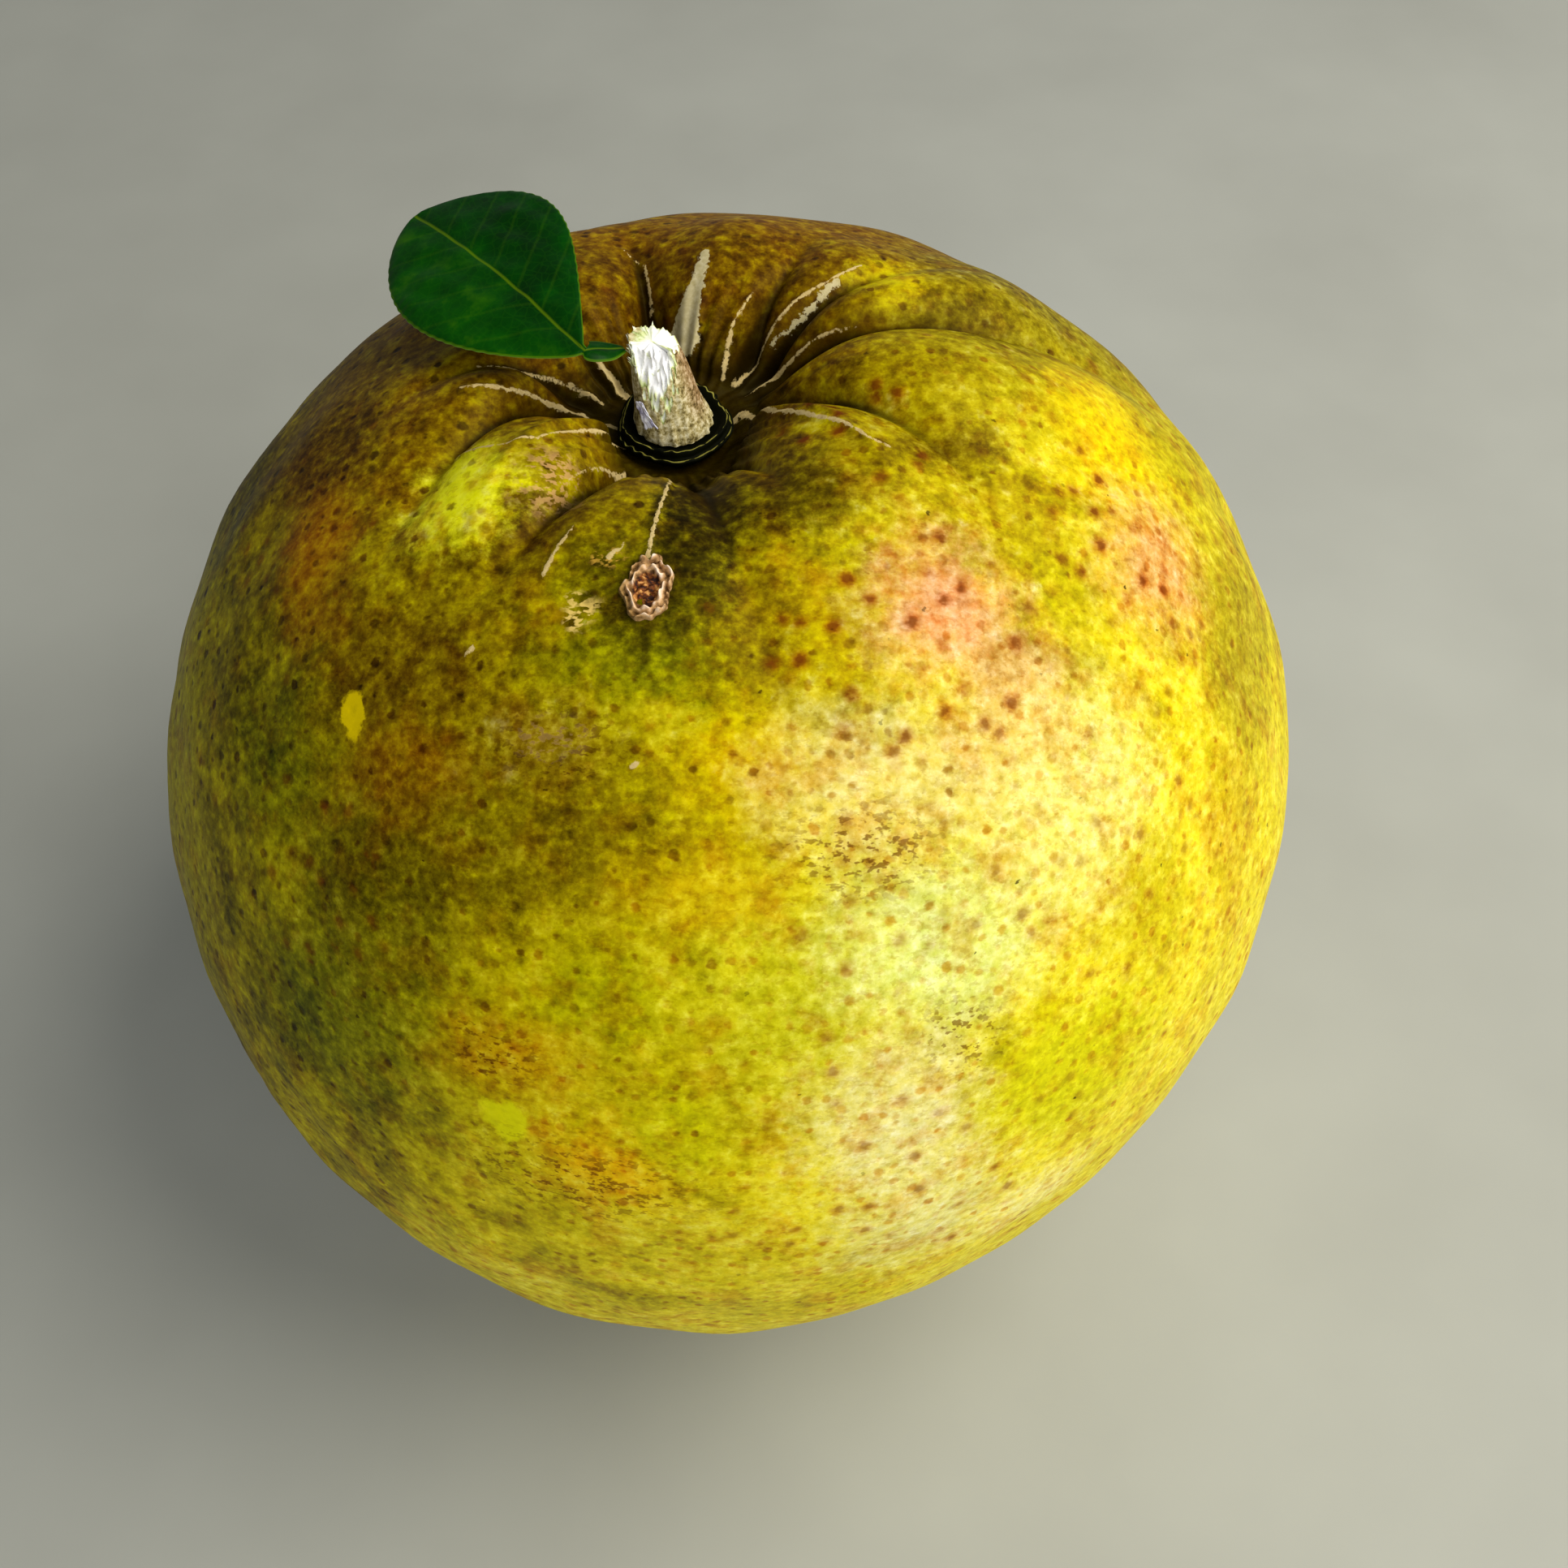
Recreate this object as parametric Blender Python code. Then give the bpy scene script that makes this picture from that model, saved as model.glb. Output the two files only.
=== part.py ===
"""A ripe pomelo as picked: the fruit, its calyx, a cut stem stub and one leaf.

The fruit stands on a small flat spot at z = 0, stem end up. Metres, +Z up, front towards -Y.
Shapes are worked out in millimetres and scaled to metres when they become meshes.
"""

import math

import bmesh
import bpy
import numpy as np
from mathutils import Vector

MM = 0.001

# Puts the middle of the fruit's box over the origin
CENTRING = Vector((0.15, 0.3, 0.0))

# Small angle between neighbouring points that a slope is worked out from (radians), and the same
# for the wider place that the scab sits on
ANGLE_STEP = 0.001
SCAB_ANGLE_STEP = 0.02

# Edges that turn more than this are shaded sharp
SHARP_ANGLE = math.radians(40.0)

# Fruit: overall sizes. Roundness 2 is an ellipsoid, and more gives fuller shoulders.
HALF_WIDTH = 75.0
HALF_HEIGHT_TOP = 74.0
HALF_HEIGHT_BOTTOM = 73.6
MID_HEIGHT = 72.6
ROUNDNESS = 2.12

# Fruit: the dimple that the stem grows from, a little left of centre and to the back
DIMPLE_DEPTH = 15.4
DIMPLE_RADIUS = 13.8
DIMPLE_X = -6.4
DIMPLE_Y = 4.4
DIMPLE_SLIDE = 62.0
SEAT_RADIUS = 6.0
SEAT_BLEND = 1.6
MOAT_DEPTH = 1.5
MOAT_RADIUS = 7.6
MOAT_HALF_WIDTH = 1.0
LOBE_HEIGHT = 0.2
LOBE_DISTANCE = 21.0
LOBE_SPREAD = 11.0

# Fruit: mesh density. The puckered zone has more divisions than the sides.
PUCKER_POLAR = math.radians(40.0)
PUCKER_SEGMENTS = 132
PUCKER_RINGS = 29
SIDE_RINGS = 20

# Furrows that run out of the dimple: azimuth at the stem, azimuth at the far end (degrees),
# reach from the stem's axis, depth and half width (mm). Each is narrow at the stem and widens
# outwards, holds its depth for most of its length and then fades out.
FURROW_START = 5.5
FURROW_FULL = 11.0
FURROW_SOFTNESS = 0.5
FURROW_OPENING = 0.012
FURROW_WIDTH_AT_STEM = 0.45
FURROW_WIDENING = 0.9
FURROW_HOLD = 1.5
FURROW_FADE = 1.4
FURROWS = (
    (103.0, 108.0, 36.0, 7.4, 3.2),
    (50.0, 64.0, 34.0, 4.6, 1.8),
    (42.0, 40.0, 42.0, 5.0, 2.4),
    (28.0, 16.0, 58.0, 7.0, 3.2),
    (-4.0, -36.0, 44.0, 4.6, 2.6),
    (-54.0, -64.0, 28.0, 3.0, 2.6),
    (-82.0, -80.0, 50.0, 4.2, 7.0),
    (-114.0, -132.0, 42.0, 6.4, 2.4),
    (176.0, 215.0, 46.0, 6.4, 3.2),
    (158.0, 182.0, 40.0, 4.2, 2.6),
    (141.0, 144.0, 30.0, 3.0, 2.2),
)

# Sharp folds of skin beside the furrows, given in the same way
FOLDS = (
    (-14.0, -50.0, 36.0, 1.7, 1.5),
    (-156.0, -136.0, 34.0, 1.7, 1.5),
    (57.0, 62.0, 30.0, 0.8, 1.4),
    (26.0, 33.0, 34.0, 0.9, 1.6),
)

# Swellings between the furrows: azimuth (degrees), distance from the stem's axis, half width
# round the stem, half width outwards and height (mm)
SWELLINGS = (
    (32.0, 36.0, 7.0, 12.0, 1.6),
    (2.0, 34.0, 9.0, 12.0, 1.6),
    (-134.0, 27.0, 7.0, 9.0, 0.9),
    (125.0, 34.0, 9.0, 12.0, 1.0),
    (82.0, 24.0, 4.5, 12.0, 1.0),
)

# Flatter places on the body: direction from the fruit's centre, half width and depth (mm)
FLAT_SIDES = (
    ((0.62, -0.62, -0.48), 44.0, 2.8),
    ((0.05, 0.80, 0.60), 30.0, 0.9),
    ((-0.20, 0.95, -0.20), 40.0, 1.0),
)

# Corky scab on the skin in front of the stem, joined to the fruit
SCAB_AZIMUTH = math.radians(-99.0)
SCAB_DISTANCE = 32.5
SCAB_RING_RADIUS = 2.1
SCAB_RING_THICKNESS = 0.85
SCAB_STRETCH = 1.25
SCAB_LOBES = 9
SCAB_LOBE_SHARE = 0.16
SCAB_UNEVENNESS = 0.10
SCAB_UNEVEN_TURN = 0.6
SCAB_RING_WANDER = 0.06
SCAB_RING_LIFT = 0.15
SCAB_SEGMENTS = 36
SCAB_SIDES = 8

# A place on the skin is searched for from the stem down to this polar angle, by halving
SEARCH_POLAR = math.radians(60.0)
SEARCH_HALVINGS = 40

# Calyx: the dark green collar under the stem
CALYX_GAP = 0.3
CALYX_RADIUS = 6.4
CALYX_HEIGHT = 2.6
CALYX_RECESS_RADIUS = 4.75
CALYX_RECESS_DEPTH = 0.9
CALYX_LOBES = 5
CALYX_LOBE_REACH = 0.32
CALYX_LOBE_RISE = 0.22
CALYX_LOBE_TURN = 0.7
CALYX_SEGMENTS = 60
# Its outline from the foot over the rim into the recess: radius, height and how much the lobes show
CALYX_FLOOR = CALYX_HEIGHT - CALYX_RECESS_DEPTH
CALYX_PROFILE = (
    (CALYX_RADIUS - 1.5, 0.0, 0.0),
    (CALYX_RADIUS - 0.5, 0.35, 0.5),
    (CALYX_RADIUS, 1.2, 1.0),
    (CALYX_RADIUS - 0.1, CALYX_HEIGHT - 0.4, 1.0),
    (CALYX_RADIUS - 0.5, CALYX_HEIGHT, 1.0),
    (CALYX_RECESS_RADIUS + 0.25, CALYX_HEIGHT - 0.15, 0.3),
    (CALYX_RECESS_RADIUS, CALYX_FLOOR, 0.0),
)

# Stem stub
STEM_GAP = 0.3
STEM_BASE_RADIUS = 4.25
STEM_TOP_RADIUS = 2.7
STEM_HEIGHT = 11.6
STEM_LEAN = Vector((-2.2, 0.4, 0.0))
STEM_SWELL = 0.35
STEM_SWELL_SHARE = 0.18
# Ribs along the stem, growing towards its top: how many, and their height as a share of the radius
STEM_RIBS = ((6.0, 0.03), (11.0, 0.02))
STEM_SEGMENTS = 24
STEM_RINGS = 9
# The cuts that left the stub: a point on the cut from the stem's foot, and the way it faces
STEM_CUTS = (
    (Vector((0.0, -3.6, 5.0)), Vector((-0.16, -0.92, 0.38))),
    (Vector((-2.0, 1.0, 11.2)), Vector((0.25, 0.1, 0.96))),
)
MERGE_DISTANCE = 0.02

# Leaf: a winged stalk, then the blade. Places are from the calyx's centre.
LEAF_THICKNESS = 0.7
LEAF_ROOT = Vector((-5.4, 0.5, 12.2))
LEAF_NECK = Vector((-9.6, -2.0, 13.9))
LEAF_TIP = Vector((-31.0, 23.0, 13.6))
NEAR_HALF_WIDTH = 10.7
NEAR_WIDEST = 0.56
NEAR_BLUNTNESS = 0.57
FAR_HALF_WIDTH = 11.6
FAR_WIDEST = 0.66
FAR_BLUNTNESS = 0.60
BLADE_ARCH = 1.4
BLADE_ARCH_FALL = 1.6
BLADE_RISE = 1.2
WING_HALF_WIDTH = 1.9
WING_SLIDE = 1.5
WING_BLUNTNESS = 0.6
NECK_HALF_WIDTH = 0.5
LEAF_TILT = math.radians(12.0)
BEND_BEFORE_NECK = 3.0
BEND_AFTER_NECK = 2.0
LAST_STATION = 0.999
STALK_STATIONS = 8
BLADE_STATIONS = 30
LEAF_COLUMNS = 8
TOOTH_DEPTH = 0.08
TOOTH_COUNT = 15
TEETH_FROM = 0.1
TEETH_FULL = 0.3
TEETH_END = 6.0


def material(name, rgb, roughness):
    """A plain surface of one colour, in linear red, green and blue."""
    made = bpy.data.materials.new(name)
    made.use_nodes = True
    shader = made.node_tree.nodes["Principled BSDF"]
    shader.inputs["Base Color"].default_value = (*rgb, 1.0)
    shader.inputs["Roughness"].default_value = roughness
    return made


def add_object(name, points, faces, finish):
    """A named mesh object from points in mm."""
    mesh = bpy.data.meshes.new(name)
    mesh.from_pydata([(Vector(p) + CENTRING) * MM for p in points], [], faces)
    mesh.materials.append(finish)
    mesh.shade_smooth()
    mesh.set_sharp_from_angle(angle=SHARP_ANGLE)
    made = bpy.data.objects.new(name, mesh)
    bpy.context.scene.collection.objects.link(made)
    return made


def smooth_step(low, high, value):
    t = np.clip((value - low) / (high - low), 0.0, 1.0)
    return t * t * (3.0 - 2.0 * t)


def turned(angle):
    """The same angle between -pi and pi."""
    return (angle + math.pi) % (2.0 * math.pi) - math.pi


def plain_skin(polar, azimuth):
    """The fruit without its puckers, as x, y, z from the middle of the body, and the distance
    from the stem's axis. That axis slides towards the middle lower down."""
    upper = np.cos(polar) > 0.0
    distance = HALF_WIDTH * np.maximum(np.sin(polar), 0.0) ** (2.0 / ROUNDNESS)
    slide = np.where(upper, np.clip(1.0 - (distance / DIMPLE_SLIDE) ** 2, 0.0, 1.0) ** 2, 0.0)
    x = distance * np.cos(azimuth) + DIMPLE_X * slide
    y = distance * np.sin(azimuth) + DIMPLE_Y * slide
    spread = np.minimum(np.hypot(x, y) / HALF_WIDTH, 1.0)
    half_height = np.where(upper, HALF_HEIGHT_TOP, -HALF_HEIGHT_BOTTOM)
    z = half_height * (1.0 - spread**ROUNDNESS) ** (1.0 / ROUNDNESS)
    dimple = DIMPLE_DEPTH * np.exp(-((distance / DIMPLE_RADIUS) ** 2))
    return np.stack([x, y, z - np.where(upper, dimple, 0.0)], -1), distance


def furrow_depth(azimuth, distance, furrow):
    """How far one furrow lies below the plain skin. Its sides meet in a soft crease."""
    start, end, reach, depth, half_width = furrow
    along = np.clip((distance - FURROW_START) / (reach - FURROW_START), 0.0, 1.0)
    line = math.radians(start) + math.radians(end - start) * along
    across = distance * turned(azimuth - line)
    spread = half_width * (FURROW_WIDTH_AT_STEM + FURROW_WIDENING * along)
    softness = FURROW_SOFTNESS + FURROW_OPENING * distance
    crease = np.sqrt(across**2 + softness**2) - softness
    ends = smooth_step(FURROW_START, FURROW_FULL, distance) * (1.0 - along**FURROW_HOLD) ** FURROW_FADE
    return depth * ends * np.exp(-crease / spread)


def pucker_height(azimuth, distance):
    """Height of the lobes and furrows round the stem over the plain skin."""
    height = LOBE_HEIGHT * np.exp(-(((distance - LOBE_DISTANCE) / LOBE_SPREAD) ** 2))
    height = height - MOAT_DEPTH * np.exp(-(((distance - MOAT_RADIUS) / MOAT_HALF_WIDTH) ** 2))
    for place, out, half_round, half_out, tall in SWELLINGS:
        across = out * turned(azimuth - math.radians(place)) / half_round
        height = height + tall * np.exp(-(across**2) - ((distance - out) / half_out) ** 2)
    for furrow in FURROWS:
        height = height - furrow_depth(azimuth, distance, furrow)
    for fold in FOLDS:
        height = height + furrow_depth(azimuth, distance, fold)
    return height


def fruit_skin(polar, azimuth):
    """Points on the finished skin, in mm above the surface that the fruit rests on."""
    points, distance = plain_skin(polar, azimuth)
    down = plain_skin(polar + ANGLE_STEP, azimuth)[0] - points
    round_it = plain_skin(polar, azimuth + ANGLE_STEP)[0] - points
    normal = np.cross(down, round_it)
    length = np.linalg.norm(normal, axis=-1, keepdims=True)
    normal = normal / np.maximum(length, 1e-12)
    upper = (np.cos(polar) > 0.0) & (np.sin(polar) > 1e-6)
    height = np.where(upper, pucker_height(azimuth, distance), 0.0)
    for direction, half_width, depth in FLAT_SIDES:
        centre = np.array(direction) * HALF_WIDTH / np.linalg.norm(direction)
        apart = np.linalg.norm(points - centre, axis=-1) / half_width
        height = height - depth * np.exp(-(apart**2))
    points = points + normal * height[..., None]
    points[..., 2] += MID_HEIGHT
    seat = smooth_step(SEAT_RADIUS + SEAT_BLEND, SEAT_RADIUS, distance) * (np.cos(polar) > 0.0)
    points[..., 2] += seat * (seat_height() - points[..., 2])
    points[..., 2] = np.maximum(points[..., 2], 0.0)
    return points


def seat_height():
    """Height of the flat place in the dimple that the calyx sits on."""
    return MID_HEIGHT + HALF_HEIGHT_TOP - DIMPLE_DEPTH


def ring_angles():
    """Polar angles of the rings, from the stem to the flat spot."""
    seat = math.asin((SEAT_RADIUS / HALF_WIDTH) ** (0.5 * ROUNDNESS))
    steps = np.arange(PUCKER_RINGS - 1) / (PUCKER_RINGS - 2)
    top = [0.5 * seat, *(seat + (PUCKER_POLAR - seat) * steps)]
    sides = np.arange(1, SIDE_RINGS) / SIDE_RINGS
    return top, PUCKER_POLAR + (math.pi - PUCKER_POLAR) * sides


def build_fruit(finish):
    """Rings round the stem's axis: many divisions in the puckered zone and half as many below."""
    top, sides = ring_angles()
    points = [tuple(fruit_skin(np.array(0.0), np.array(0.0)))]
    rings = []
    for polar in [*top, *sides]:
        count = PUCKER_SEGMENTS if len(rings) < PUCKER_RINGS else PUCKER_SEGMENTS // 2
        azimuth = np.arange(count) * (2.0 * math.pi / count)
        rings.append(list(range(len(points), len(points) + count)))
        points += [tuple(p) for p in fruit_skin(np.full(count, polar), azimuth)]
    points.append(tuple(fruit_skin(np.array(math.pi), np.array(0.0))))
    faces = []
    for i, index in enumerate(rings[0]):
        faces.append((0, index, rings[0][(i + 1) % len(rings[0])]))
    for upper, lower in zip(rings, rings[1:]):
        faces += band(upper, lower)
    for i, index in enumerate(rings[-1]):
        faces.append((len(points) - 1, rings[-1][(i + 1) % len(rings[-1])], index))
    fruit = add_object("fruit", points, faces, finish)
    join_scab(fruit, finish)
    return fruit


def band(upper, lower):
    """Faces between two rings. The lower one may have half as many points."""
    count, ratio = len(lower), len(upper) // len(lower)
    faces = []
    for i in range(count):
        here, there = lower[i], lower[(i + 1) % count]
        top = [upper[(i * ratio + k) % len(upper)] for k in range(ratio + 1)]
        if ratio == 1:
            faces.append((top[0], here, there, top[1]))
        else:
            faces += [(top[0], here, top[1]), (top[1], here, there), (top[1], there, top[2])]
    return faces


def skin_frame(azimuth, distance):
    """A place on the top of the fruit: its point, outward normal and the directions across
    and outwards, found from the distance to the stem's axis."""
    low, high = 0.0, SEARCH_POLAR
    for _ in range(SEARCH_HALVINGS):
        polar = 0.5 * (low + high)
        near = plain_skin(np.array(polar), np.array(azimuth))[1] < distance
        low, high = (polar, high) if near else (low, polar)
    at = fruit_skin(np.array(polar), np.array(azimuth))
    out = Vector(fruit_skin(np.array(polar + SCAB_ANGLE_STEP), np.array(azimuth)) - at).normalized()
    across = Vector(fruit_skin(np.array(polar), np.array(azimuth + SCAB_ANGLE_STEP)) - at).normalized()
    normal = out.cross(across).normalized()
    return Vector(at), normal, across, normal.cross(across)


def join_scab(fruit, finish):
    """A lumpy corky ring sunk into the skin and made one solid with it."""
    centre, normal, across, out = skin_frame(SCAB_AZIMUTH, SCAB_DISTANCE)
    points, faces = [], []
    for i in range(SCAB_SEGMENTS):
        turn = 2.0 * math.pi * i / SCAB_SEGMENTS
        lump = 1.0 + SCAB_LOBE_SHARE * math.cos(SCAB_LOBES * turn)
        lump += SCAB_UNEVENNESS * math.sin(2.0 * turn + SCAB_UNEVEN_TURN)
        ring = SCAB_RING_RADIUS * (1.0 + SCAB_RING_WANDER * math.sin(3.0 * turn))
        spoke = across * math.cos(turn) + out * (math.sin(turn) * SCAB_STRETCH)
        for k in range(SCAB_SIDES):
            side = 2.0 * math.pi * k / SCAB_SIDES
            thick = SCAB_RING_THICKNESS * lump
            place = centre + spoke * (ring + thick * math.cos(side))
            points.append(place + normal * (SCAB_RING_LIFT + thick * math.sin(side)))
            along = (i + 1) % SCAB_SEGMENTS * SCAB_SIDES
            up = (k + 1) % SCAB_SIDES
            here = i * SCAB_SIDES
            faces.append((here + k, along + k, along + up, here + up))
    scab = add_object("scab_tool", points, faces, finish)
    recalculate_normals(scab.data)
    union = fruit.modifiers.new("scab", "BOOLEAN")
    union.operation = "UNION"
    union.solver = "EXACT"
    union.object = scab
    bpy.context.view_layer.update()
    graph = bpy.context.evaluated_depsgraph_get()
    fruit.data = bpy.data.meshes.new_from_object(fruit.evaluated_get(graph))
    fruit.data.name = "fruit"
    fruit.data.set_sharp_from_angle(angle=SHARP_ANGLE)
    fruit.modifiers.clear()
    bpy.data.objects.remove(scab)


def recalculate_normals(mesh):
    work = bmesh.new()
    work.from_mesh(mesh)
    bmesh.ops.recalc_face_normals(work, faces=work.faces)
    work.to_mesh(mesh)
    work.free()


def calyx_centre():
    """The middle of the calyx's underside."""
    return Vector((DIMPLE_X, DIMPLE_Y, seat_height() + CALYX_GAP))


def build_calyx(finish):
    """A collar of five blunt lobes, turned round the stem's axis, with a shallow recess on top."""
    centre = calyx_centre()
    points, faces = [centre.copy()], []
    for radius, height, lobed in CALYX_PROFILE:
        for i in range(CALYX_SEGMENTS):
            turn = 2.0 * math.pi * i / CALYX_SEGMENTS
            wave = lobed * math.cos(CALYX_LOBES * turn + CALYX_LOBE_TURN)
            reach = radius + CALYX_LOBE_REACH * wave
            lift = CALYX_LOBE_RISE * wave * height / CALYX_HEIGHT
            points.append(centre + Vector((reach * math.cos(turn), reach * math.sin(turn), height + lift)))
    points.append(centre + Vector((0.0, 0.0, CALYX_FLOOR)))
    last = len(points) - 1
    for i in range(CALYX_SEGMENTS):
        after = (i + 1) % CALYX_SEGMENTS
        faces.append((0, 1 + after, 1 + i))
        for level in range(len(CALYX_PROFILE) - 1):
            low, high = 1 + level * CALYX_SEGMENTS, 1 + (level + 1) * CALYX_SEGMENTS
            faces.append((low + i, low + after, high + after, high + i))
        top = 1 + (len(CALYX_PROFILE) - 1) * CALYX_SEGMENTS
        faces.append((top + i, top + after, last))
    return add_object("calyx", points, faces, finish)


def stem_base():
    """The middle of the stem's foot, in the calyx's recess."""
    return calyx_centre() + Vector((0.0, 0.0, CALYX_FLOOR + STEM_GAP))


def build_stem(finish):
    """A leaning, slightly ribbed woody stub, swollen at its foot and cut off on a slant."""
    base = stem_base()
    mesh = bpy.data.meshes.new("stem")
    work = bmesh.new()
    loops = []
    for level in range(STEM_RINGS + 1):
        t = level / STEM_RINGS
        swell = STEM_SWELL * math.exp(-((t / STEM_SWELL_SHARE) ** 2))
        radius = STEM_BASE_RADIUS + (STEM_TOP_RADIUS - STEM_BASE_RADIUS) * t + swell
        radius = min(radius, CALYX_RECESS_RADIUS - STEM_GAP)
        centre = base + STEM_LEAN * t + Vector((0.0, 0.0, STEM_HEIGHT * t))
        loop = []
        for i in range(STEM_SEGMENTS):
            turn = 2.0 * math.pi * i / STEM_SEGMENTS
            rib = 1.0 + sum(share * t * math.cos(count * turn) for count, share in STEM_RIBS)
            place = Vector((math.cos(turn), math.sin(turn), 0.0)) * (radius * rib)
            loop.append(work.verts.new((centre + place) * MM))
        loops.append(loop)
    work.faces.new(reversed(loops[0]))
    work.faces.new(loops[-1])
    for low, high in zip(loops, loops[1:]):
        for i in range(STEM_SEGMENTS):
            after = (i + 1) % STEM_SEGMENTS
            work.faces.new((low[i], low[after], high[after], high[i]))
    for through, facing in STEM_CUTS:
        geometry = work.verts[:] + work.edges[:] + work.faces[:]
        bmesh.ops.bisect_plane(
            work,
            geom=geometry,
            plane_co=(base + through) * MM,
            plane_no=facing,
            clear_outer=True,
        )
        bmesh.ops.holes_fill(work, edges=work.edges[:])
    bmesh.ops.remove_doubles(work, verts=work.verts[:], dist=MERGE_DISTANCE * MM)
    bmesh.ops.recalc_face_normals(work, faces=work.faces[:])
    bmesh.ops.translate(work, verts=work.verts[:], vec=CENTRING * MM)
    work.to_mesh(mesh)
    work.free()
    mesh.materials.append(finish)
    mesh.shade_smooth()
    mesh.set_sharp_from_angle(angle=SHARP_ANGLE)
    stem = bpy.data.objects.new("stem", mesh)
    bpy.context.scene.collection.objects.link(stem)
    return stem


def half_width(t, widest, middle, roundness):
    """Half width of one side of the blade along its midrib, with fine blunt teeth. Its widest
    place is at middle, and a lower roundness makes the ends blunter."""
    outline = math.sin(math.pi * t ** (math.log(0.5) / math.log(middle))) ** roundness
    teeth = TOOTH_DEPTH * math.sin(2.0 * math.pi * TOOTH_COUNT * t) * min(1.0, TEETH_END * (1.0 - t))
    return max(NECK_HALF_WIDTH, widest * outline + teeth * float(smooth_step(TEETH_FROM, TEETH_FULL, t)))


def leaf_stations():
    """Middle of the leaf and half widths of its near and far sides, from the stem to the tip."""
    stations = []
    for i in range(STALK_STATIONS):
        t = i / STALK_STATIONS
        wing = math.sin(math.pi * t**WING_SLIDE) ** WING_BLUNTNESS
        half = NECK_HALF_WIDTH + (WING_HALF_WIDTH - NECK_HALF_WIDTH) * wing
        stations.append((LEAF_ROOT.lerp(LEAF_NECK, t), half, half))
    for i in range(BLADE_STATIONS + 1):
        t = min(i / BLADE_STATIONS, LAST_STATION)
        middle = LEAF_NECK.lerp(LEAF_TIP, t)
        middle.z += BLADE_RISE * math.sin(math.pi * t)
        near = half_width(t, NEAR_HALF_WIDTH, NEAR_WIDEST, NEAR_BLUNTNESS)
        far = half_width(t, FAR_HALF_WIDTH, FAR_WIDEST, FAR_BLUNTNESS)
        stations.append((middle, near, far))
    return stations


def build_leaf(finish):
    """Stalk and blade in one thin arched piece. Its near edge hangs lower than its far edge."""
    root = calyx_centre()
    run = (LEAF_TIP - LEAF_NECK).normalized()
    side = Vector((run.y, -run.x, 0.0)).normalized()
    stalk_run = (LEAF_NECK - LEAF_ROOT).normalized()
    stalk_side = Vector((stalk_run.y, -stalk_run.x, 0.0)).normalized()
    rows = []
    for j, (middle, near, far) in enumerate(leaf_stations()):
        turn = float(smooth_step(STALK_STATIONS - BEND_BEFORE_NECK, STALK_STATIONS + BEND_AFTER_NECK, j))
        across = stalk_side.lerp(side, turn).normalized()
        row = []
        for k in range(LEAF_COLUMNS + 1):
            u = 2.0 * k / LEAF_COLUMNS - 1.0
            out = u * (far if u > 0.0 else near)
            fold = BLADE_ARCH * min(1.0, far / FAR_HALF_WIDTH) * (abs(u) - BLADE_ARCH_FALL * u * u)
            drop = Vector((0.0, 0.0, fold + out * math.tan(LEAF_TILT) * turn))
            row.append(root + middle + across * out + drop)
        rows.append(row)
    columns = LEAF_COLUMNS + 1
    lift = Vector((0.0, 0.0, LEAF_THICKNESS / 2.0))
    points = [p + lift for row in rows for p in row] + [p - lift for row in rows for p in row]
    under = len(rows) * columns
    faces = []
    for j in range(len(rows) - 1):
        for k in range(LEAF_COLUMNS):
            a, b = j * columns + k, (j + 1) * columns + k
            faces += [(a, a + 1, b + 1), (a, b + 1, b)]
            faces += [(under + a, under + b + 1, under + a + 1), (under + a, under + b, under + b + 1)]
        for k in (0, LEAF_COLUMNS):
            a, b = j * columns + k, (j + 1) * columns + k
            faces.append((a, b, under + b, under + a))
    for row in (0, len(rows) - 1):
        for k in range(LEAF_COLUMNS):
            a = row * columns + k
            faces.append((a, a + 1, under + a + 1, under + a))
    leaf = add_object("leaf", points, faces, finish)
    recalculate_normals(leaf.data)
    return leaf


def clear_scene():
    for old in list(bpy.data.objects):
        bpy.data.objects.remove(old)


def main():
    clear_scene()
    build_fruit(material("rind", (0.52, 0.46, 0.02), 0.48))
    build_calyx(material("calyx_green", (0.03, 0.05, 0.01), 0.6))
    build_stem(material("cut_wood", (0.66, 0.64, 0.42), 0.75))
    build_leaf(material("leaf_green", (0.01, 0.10, 0.01), 0.42))


main()
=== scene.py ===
"""A ripe pomelo as picked: puckered fruit, calyx, cut stem stub and one leaf, on a pale floor.

Sizes are in millimetres and become metres when a mesh is made. +Z is up and the photograph's side is -Y.
"""

import math
from functools import partial

import bpy
import numpy as np
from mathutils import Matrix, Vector


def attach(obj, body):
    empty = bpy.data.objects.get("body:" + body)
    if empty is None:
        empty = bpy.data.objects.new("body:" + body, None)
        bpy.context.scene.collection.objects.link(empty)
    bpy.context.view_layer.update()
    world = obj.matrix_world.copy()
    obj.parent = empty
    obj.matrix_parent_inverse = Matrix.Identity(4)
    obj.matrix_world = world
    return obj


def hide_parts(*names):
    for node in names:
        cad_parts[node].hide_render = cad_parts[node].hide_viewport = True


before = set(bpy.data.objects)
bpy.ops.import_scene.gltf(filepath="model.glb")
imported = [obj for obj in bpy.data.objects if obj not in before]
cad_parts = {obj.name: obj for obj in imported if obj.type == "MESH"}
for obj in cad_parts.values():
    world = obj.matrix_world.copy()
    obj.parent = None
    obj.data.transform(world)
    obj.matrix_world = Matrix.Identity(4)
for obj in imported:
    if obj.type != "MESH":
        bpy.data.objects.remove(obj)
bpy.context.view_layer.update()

# Camera: looks down at the fruit from about 52 degrees above the floor, at the photograph's framing.
# The body's middle stands at one pixel of the square frame, which sets the small shift.
IMAGE_SIDE = 1932
BODY_PIXEL_X = 897
BODY_PIXEL_Y = 955
FOCAL_PIXELS = 2340
SENSOR_WIDTH = 36.0
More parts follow.
